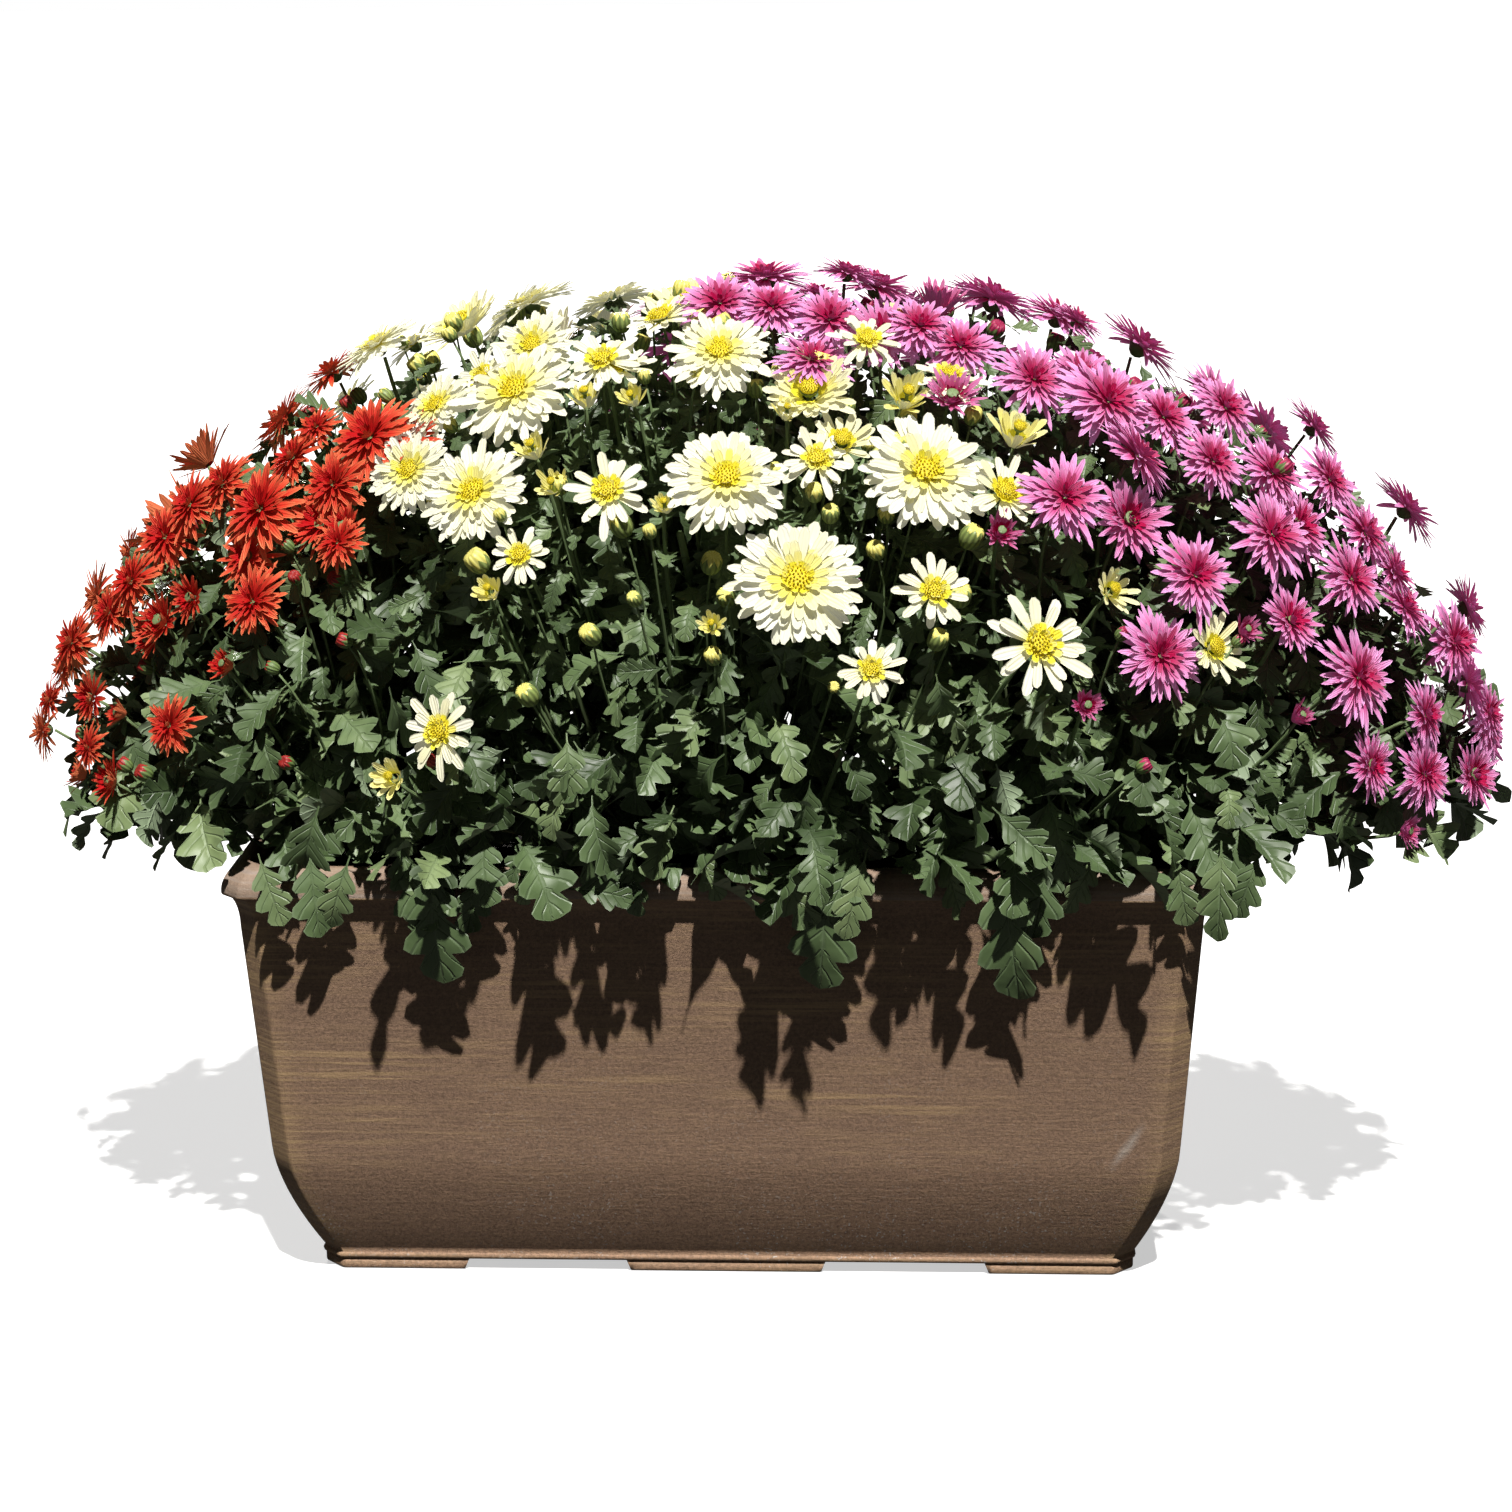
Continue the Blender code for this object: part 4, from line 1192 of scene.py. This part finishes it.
class PlanterSettings(bpy.types.PropertyGroup):
    """Sizes and colours of the moulded planter."""

    lip_height: length_prop("Lip height", "Height of the rounded lip", 0.017)
    lip_out: length_prop("Lip overhang", "How far the lip stands out from the wall", 0.0085)
    cove_height: length_prop("Cove height", "Height of the cove under the lip", 0.021)
    taper: length_prop("Taper", "How far the wall leans in, straight, from lip to plinth", 0.0150)
    tuck: length_prop("Tuck", "How much further the wall curves in at its foot", 0.0195)
    tuck_start: length_prop("Tuck start", "Height at which the wall starts to curve in", 0.080)
    wall: length_prop("Wall", "Thickness of the wall", 0.005)
    chamfer: length_prop("Chamfer", "How much each upright corner is cut off", 0.012)
    edge_radius: length_prop("Edge radius", "Radius of the chamfers' edges", 0.004)
    plinth_top: length_prop("Plinth top", "Height of the plinth's upper edge", 0.0105)
    runner_height: length_prop("Runner height", "Height of the feet", 0.007)
    floor_top: length_prop("Floor", "Height of the floor inside", 0.0125)
    brown: colour_prop("Brown", "Colour of the resin", (0.296, 0.186, 0.121))
    low_brown: colour_prop("Low brown", "Colour of the resin near the foot", (0.470, 0.290, 0.186))
    pore: colour_prop("Pore", "Colour of the resin's fine dark grain", (0.130, 0.081, 0.054))
    gold: colour_prop("Gold", "Colour of the brushed streaks", (0.430, 0.290, 0.150))
    # Rim bloom is partly the lip's weathering and partly painted sheen: the lip is paler where it faces up
    # into the light
    bloom: colour_prop("Rim bloom", "Colour of the weathered rim", (0.27, 0.22, 0.20))
    dust: colour_prop("Dust", "Colour of the dry specks", (0.48, 0.43, 0.38))


class CompostSettings(bpy.types.PropertyGroup):
    """Colours of the compost."""

    wet_brown: colour_prop("Wet brown", "Colour of the damp compost", (0.012, 0.008, 0.006))
    dry_brown: colour_prop("Dry brown", "Colour of the dry crumbs", (0.060, 0.038, 0.024))


class GrowthSettings(bpy.types.PropertyGroup):
    """Sizes and colours of leaves and stems."""

    leaf_length: length_prop("Leaf length", "Usual length of a leaf", 0.043)
    stalk_radius: length_prop("Stalk radius", "Radius of a flower stalk", 0.0013)
    dark_green: colour_prop("Dark green", "Colour of the oldest leaves", (0.032, 0.056, 0.018))
    mid_green: colour_prop("Green", "Colour of most leaves", (0.096, 0.146, 0.058))
    pale_green: colour_prop("Pale green", "Colour of the youngest leaves", (0.190, 0.250, 0.108))
    underside: colour_prop("Underside", "Colour of veins and undersides", (0.260, 0.330, 0.210))
    woody_brown: colour_prop("Woody brown", "Colour of the stems' foot", (0.075, 0.055, 0.030))
    stem_green: colour_prop("Stem green", "Colour of the stems", (0.090, 0.140, 0.055))
    young_green: colour_prop("Young green", "Colour of the flower stalks", (0.200, 0.290, 0.120))


class FlowerSettings(bpy.types.PropertyGroup):
    """Colours of flowers and buds."""

    orange_tip: colour_prop("Orange tip", "Tips of the orange petals", (0.74, 0.170, 0.070))
    orange_middle: colour_prop("Coral", "Middle of the orange petals", (0.58, 0.034, 0.018))
    orange_heart: colour_prop("Red heart", "Foot of the orange petals", (0.40, 0.002, 0.004))
    orange_edge: colour_prop("Orange edge", "Edges of the orange petals", (0.86, 0.36, 0.16))
    orange_reverse: colour_prop("Apricot reverse", "Underside of the orange petals", (0.70, 0.22, 0.090))
    white_tip: colour_prop("White", "White petals", (0.68, 0.67, 0.57))
    white_foot: colour_prop("Cream", "Foot of the white petals", (0.68, 0.64, 0.28))
    white_inner: colour_prop("Lemon", "Innermost white petals", (0.68, 0.60, 0.035))
    white_reverse: colour_prop("Cream reverse", "Underside of the white petals", (0.66, 0.65, 0.46))
    pink_tip: colour_prop("Pink tip", "Tips of the pink petals", (0.76, 0.36, 0.66))
    pink_middle: colour_prop("Rose", "Middle of the pink petals", (0.52, 0.080, 0.250))
    pink_heart: colour_prop("Crimson heart", "Foot of the pink petals", (0.35, 0.002, 0.050))
    pink_edge: colour_prop("Pink edge", "Edges of the pink petals", (0.80, 0.50, 0.74))
    pink_reverse: colour_prop("Plum reverse", "Underside of the pink petals", (0.50, 0.100, 0.290))
    yellow: colour_prop("Yellow", "Disc florets of the white flowers", (0.72, 0.60, 0.012))


class StageSettings(bpy.types.PropertyGroup):
    """Camera, light and floor."""

    sun_height: angle_prop("Sun height", "Angle above the floor", 62)
    sun_turn: angle_prop("Sun turn", "Angle to the right of the front", 12)
    sun_strength: number_prop("Sun strength", "Strength of the key light", 6.2)
    sky_strength: number_prop("Sky strength", "Strength of the fill light", 0.02)
    back_strength: number_prop("Back strength", "Strength of the light behind", 1.5)
    seed: IntProperty(name="Seed", description="Seed of the uneven growth", default=7)


# --- operators ---------------------------------------------------------------------------------------


class WINDOWBOX_OT_planter(bpy.types.Operator):
    """Build the moulded planter and its three runner feet"""

    bl_idname = "windowbox.planter"
    bl_label = "Planter"

    def execute(self, context):
        settings = context.scene.window_box_planter
        material = planter_material(settings)
        surface, wear_and_sheen = planter_surface(settings)
        make_piece("moulded_planter", surface, material, ("planter_box",), True, wear_and_sheen)
        spans = {"left": (-0.3, -0.153), "centre": (-0.059, 0.059), "right": (0.153, 0.3)}
        for side, (left, right) in spans.items():
            surface, wear_and_sheen = runner_surface(left, right, settings)
            make_piece(f"runner_{side}", surface, material, (), True, wear_and_sheen)
        return {"FINISHED"}


class WINDOWBOX_OT_compost(bpy.types.Operator):
    """Fill the planter with compost and scatter crumbs on it"""

    bl_idname = "windowbox.compost"
    bl_label = "Compost"

    def execute(self, context):
        rng = np.random.default_rng(context.scene.window_box_stage.seed)
        material = compost_material(context.scene.window_box_compost)
        planter = context.scene.window_box_planter
        make_piece("compost", compost_surface(planter), material, ("potting_soil",), True)
        make_piece("compost_crumbs", crumb_surface(rng), material, (), True)
        return {"FINISHED"}


def plant_growth(plant, seed):
    """All flower and bud places of one plant, the same whichever operator asks."""
    rng = np.random.default_rng((seed, PLANTS.index(plant)))
    return cad_heads(plant), further_heads(plant, rng), bud_heads(plant, rng)


class WINDOWBOX_OT_stems(bpy.types.Operator):
    """Grow each plant's main stems, flower stalks, bud stalks and green flower cups"""

    bl_idname = "windowbox.stems"
    bl_label = "Stems"

    def execute(self, context):
        settings = context.scene.window_box_growth
        seed = context.scene.window_box_stage.seed
        material = stem_material(settings)
        for plant in PLANTS:
            own, further, buds = plant_growth(plant, seed)
            rng = np.random.default_rng((seed, 10 + PLANTS.index(plant)))
            heads = list(own.values()) + further
            crowns, facing, radii = (np.array([head[part] for head in heads]) for part in range(3))
            cups = crowns - facing * (radii * 0.2)[:, None]
            parts = [
                main_stems(plant, rng),
                stalk_surface(plant, cups, facing, radii, settings.stalk_radius, rng),
                stalk_surface(plant, *buds, settings.stalk_radius * 0.65, rng),
                calyx_surface(heads),
            ]
            name = f"{plant}_stems"
            make_piece(name, merged(parts), material, (f"{plant}_roots_and_stems",), True)
        return {"FINISHED"}


class WINDOWBOX_OT_leaves(bpy.types.Operator):
    """Clothe each plant in leaves, and hang some over the front rim"""

    bl_idname = "windowbox.leaves"
    bl_label = "Leaves"

    def execute(self, context):
        settings = context.scene.window_box_growth
        material = leaf_material(settings)
        for plant in PLANTS:
            rng = np.random.default_rng((context.scene.window_box_stage.seed, 20 + PLANTS.index(plant)))
            parts = [leaf_surface(plant, settings, rng)]
            for across, up, length, lean in RIM_LEAVES[plant]:
                depth = BOX_LOW[1] - rng.uniform(0.0, 0.012)
                blade = hanging_leaf(across / 1000, depth, up / 1000, length / 1000, lean, rng)
                parts.append(sheets(clear_of_box(blade), rng.integers(2, BANDS), flip=True))
            make_piece(f"{plant}_leaves", merged(parts), material, (f"{plant}_leaf_canopy",))
        rng = np.random.default_rng(context.scene.window_box_stage.seed + 30)
        for number, lean in ((1, 8), (2, -6), (3, 10)):
            low, high = (np.array(corner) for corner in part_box(f"trailing_leaf_{number}"))
            across, depth = (low[0] + high[0]) / 2, BOX_LOW[1] - 0.008
            blade = hanging_leaf(across, depth, high[2] + 0.010, high[2] - low[2] + 0.012, lean, rng)
            surface = sheets(clear_of_box(blade), rng.integers(2, BANDS), flip=True)
            make_piece(f"hanging_leaf_{number}", surface, material, (f"trailing_leaf_{number}",))
        return {"FINISHED"}


# Petals: named colours along the outer and the inner ones, the colour of their edges, and their glow, which
# is painted light: the petals give off light in their own colour, as if lit through
PETAL_PARTS = {
    "orange": ("heart", "middle", "tip", "edge", "reverse"),
    "pink": ("heart", "middle", "tip", "edge", "reverse"),
    "white": ("inner", "foot", "tip", "reverse"),
}
PETAL_LOOKS = {
    "orange": (
        ((0.30, "heart"), (0.54, "middle"), (0.90, "tip")), ((0.85, "heart"), (1.0, "middle")), "edge", 0.08,
    ),
    "pink": (
        ((0.20, "heart"), (0.42, "middle"), (0.72, "tip")), ((0.80, "heart"), (1.0, "middle")), "edge", 0.15,
    ),
    "white": (
        ((0.0, "inner"), (0.14, "foot"), (0.40, "tip")), ((0.75, "inner"), (1.0, "foot")), "tip", 0.24,
    ),
}

# Buds: tips of the furled petals, their hearts, and the sepals
BUD_LOOKS = {
    "orange": ((0.42, 0.03, 0.02), (0.20, 0.006, 0.01), (0.16, 0.24, 0.07)),
    "white": ((0.80, 0.74, 0.22), (0.62, 0.56, 0.12), (0.28, 0.36, 0.10)),
    "pink": ((0.45, 0.03, 0.10), (0.22, 0.01, 0.05), (0.16, 0.24, 0.07)),
}


class WINDOWBOX_OT_flowers(bpy.types.Operator):
    """Open every flower: a piece for each CAD bloom, two for each plant's further flowers, and the discs"""

    bl_idname = "windowbox.flowers"
    bl_label = "Flowers"

    def execute(self, context):
        colours = context.scene.window_box_flowers
        seed = context.scene.window_box_stage.seed
        materials = {}
        for plant, (stops, inner_stops, edge, glow) in PETAL_LOOKS.items():
            shade = {part: getattr(colours, f"{plant}_{part}") for part in PETAL_PARTS[plant]}
            # Each petal material's colour and its glow, painted light that stands in for light through the
            # petals
            materials[plant] = petal_material(
                f"{plant}_petal_colour_and_glow",
                [(place, shade[part]) for place, part in stops],
                [(place, shade[part]) for place, part in inner_stops],
                shade["reverse"],
                shade[edge],
                glow,
            )
        for plant in PLANTS:
            own, further, buds = plant_growth(plant, seed)
            rng = np.random.default_rng((seed, 40 + PLANTS.index(plant)))
            for name, head in own.items():
                piece_name = name.replace("bloom", "flower")
                make_piece(piece_name, flower_surface(plant, head, rng), materials[plant], (name,))
            listed = len(FURTHER_FLOWERS[plant])
            for place, heads in (("front", further[:listed]), ("back", further[listed:])):
                flowers = merged([flower_surface(plant, head, rng) for head in heads])
                make_piece(f"{plant}_{place}_flowers", flowers, materials[plant])
            if plant == "white":
                florets = floret_material(colours.yellow, colours.white_inner)
                discs = disc_surface(list(own.values()) + further)
                make_piece("white_flower_discs", discs, florets, (), True)
        return {"FINISHED"}


class WINDOWBOX_OT_buds(bpy.types.Operator):
    """Set each plant's buds between its flowers"""

    bl_idname = "windowbox.buds"
    bl_label = "Buds"

    def execute(self, context):
        seed = context.scene.window_box_stage.seed
        for plant in PLANTS:
            own, further, (crowns, facing, radii) = plant_growth(plant, seed)
            rng = np.random.default_rng((seed, 50 + PLANTS.index(plant)))
            surface = bud_surface(crowns, facing, radii, rng.integers(0, BANDS, len(crowns)))
            material = bud_material(f"{plant}_bud", *BUD_LOOKS[plant])
            make_piece(f"{plant}_buds", surface, material, (), True)
        return {"FINISHED"}


# Camera: its target, and how it stands to it
VIEW_TARGET = np.array([0.017, 0.0, 0.295])
VIEW_TURN = math.radians(3.2)
VIEW_HEIGHT = math.radians(14.0)
VIEW_ROLL = math.radians(-0.7)
VIEW_DISTANCE = 2.0
LENS = 80.0


class WINDOWBOX_OT_stage(bpy.types.Operator):
    """Set the floor, the light and the camera"""

    bl_idname = "windowbox.stage"
    bl_label = "Stage"

    def execute(self, context):
        settings = context.scene.window_box_stage
        self.add_floor()
        self.add_light(context, settings)
        self.add_camera(context)
        return {"FINISHED"}

    def add_floor(self):
        bpy.ops.mesh.primitive_plane_add(size=60, location=(0, 0, float(BOX_LOW[2])))
        floor = bpy.context.object
        floor.name = "floor"
        material, tree, shader = new_material("pale_floor", 0.9)
        camera_ray = node(tree, "LightPath").outputs["Is Camera Ray"]
        colour = mixed(tree, camera_ray, (0.025, 0.025, 0.025), (0.60, 0.60, 0.60))
        tree.links.new(colour, shader.inputs["Base Color"])
        glow = mixed(tree, camera_ray, (0, 0, 0), (0.55, 0.55, 0.55))
        tree.links.new(glow, shader.inputs["Emission Color"])
        shader.inputs["Emission Strength"].default_value = 1.0
        floor.data.materials.append(material)

    def add_sun(self, context, name, strength, height, turn):
        sun = bpy.data.lights.new(name, "SUN")
        sun.energy = strength
        sun.angle = math.radians(1.2)
        sun.color = (1.0, 0.98, 0.95)
        lamp = bpy.data.objects.new(name, sun)
        lamp.rotation_euler = (math.pi / 2 - height, 0, turn)
        context.scene.collection.objects.link(lamp)

    def add_light(self, context, settings):
        self.add_sun(context, "key_light", settings.sun_strength, settings.sun_height, settings.sun_turn)
        behind = settings.sun_turn + math.pi
        self.add_sun(context, "back_light", settings.back_strength, math.radians(25), behind)
        world = bpy.data.worlds.new("soft_sky")
        world.use_nodes = True
        context.scene.world = world
        tree = world.node_tree
        seen = node(tree, "Background", {"Color": (1, 1, 1, 1), "Strength": 1.0})
        light = tree.nodes["Background"]
        light.inputs["Color"].default_value = (0.86, 0.92, 1.0, 1)
        light.inputs["Strength"].default_value = settings.sky_strength
        camera_ray = node(tree, "LightPath").outputs["Is Camera Ray"]
        both = node(tree, "MixShader", {0: camera_ray, 1: light.outputs[0], 2: seen.outputs[0]})
        tree.links.new(both.outputs[0], tree.nodes["World Output"].inputs["Surface"])
        context.scene.view_settings.view_transform = "Standard"

    def add_camera(self, context):
        lens = bpy.data.cameras.new("camera")
        lens.lens = LENS
        lens.sensor_width = 36.0
        camera = bpy.data.objects.new("camera", lens)
        flat = math.cos(VIEW_HEIGHT)
        back = np.array([math.sin(VIEW_TURN) * flat, -math.cos(VIEW_TURN) * flat, math.sin(VIEW_HEIGHT)])
        right = unit(np.cross([0, 0, 1.0], back))
        up = np.cross(back, right)
        rolled_right = math.cos(VIEW_ROLL) * right + math.sin(VIEW_ROLL) * up
        rolled_up = -math.sin(VIEW_ROLL) * right + math.cos(VIEW_ROLL) * up
        place = np.eye(4)
        place[:3, 0], place[:3, 1], place[:3, 2] = rolled_right, rolled_up, back
        place[:3, 3] = VIEW_TARGET + back * VIEW_DISTANCE
        camera.matrix_world = place.T.tolist()
        context.scene.collection.objects.link(camera)
        context.scene.camera = camera


class WINDOWBOX_PT_panel(bpy.types.Panel):
    """Lists the window box's builders"""

    bl_label = "Window Box"
    bl_idname = "WINDOWBOX_PT_panel"
    bl_space_type = "VIEW_3D"
    bl_region_type = "UI"
    bl_category = "Window Box"

    def draw(self, context):
        for operator in OPERATORS:
            self.layout.operator(operator.bl_idname)
        for name in SETTINGS:
            box = self.layout.box()
            group = getattr(context.scene, name)
            for label in group.__annotations__:
                box.prop(group, label)


SETTINGS = {
    "window_box_planter": PlanterSettings,
    "window_box_compost": CompostSettings,
    "window_box_growth": GrowthSettings,
    "window_box_flowers": FlowerSettings,
    "window_box_stage": StageSettings,
}
OPERATORS = (
    WINDOWBOX_OT_stage,
    WINDOWBOX_OT_planter,
    WINDOWBOX_OT_compost,
    WINDOWBOX_OT_stems,
    WINDOWBOX_OT_leaves,
    WINDOWBOX_OT_flowers,
    WINDOWBOX_OT_buds,
)
CLASSES = (*SETTINGS.values(), *OPERATORS, WINDOWBOX_PT_panel)


def register():
    for item in CLASSES:
        bpy.utils.register_class(item)
    for name, settings in SETTINGS.items():
        setattr(bpy.types.Scene, name, PointerProperty(type=settings))


def unregister():
    for name in SETTINGS:
        delattr(bpy.types.Scene, name)
    for item in reversed(CLASSES):
        bpy.utils.unregister_class(item)


def main():
    register()
    bpy.ops.windowbox.stage()
    bpy.ops.windowbox.planter()
    bpy.ops.windowbox.compost()
    bpy.ops.windowbox.stems()
    bpy.ops.windowbox.leaves()
    bpy.ops.windowbox.flowers()
    bpy.ops.windowbox.buds()


if __name__ == "__main__":
    main()
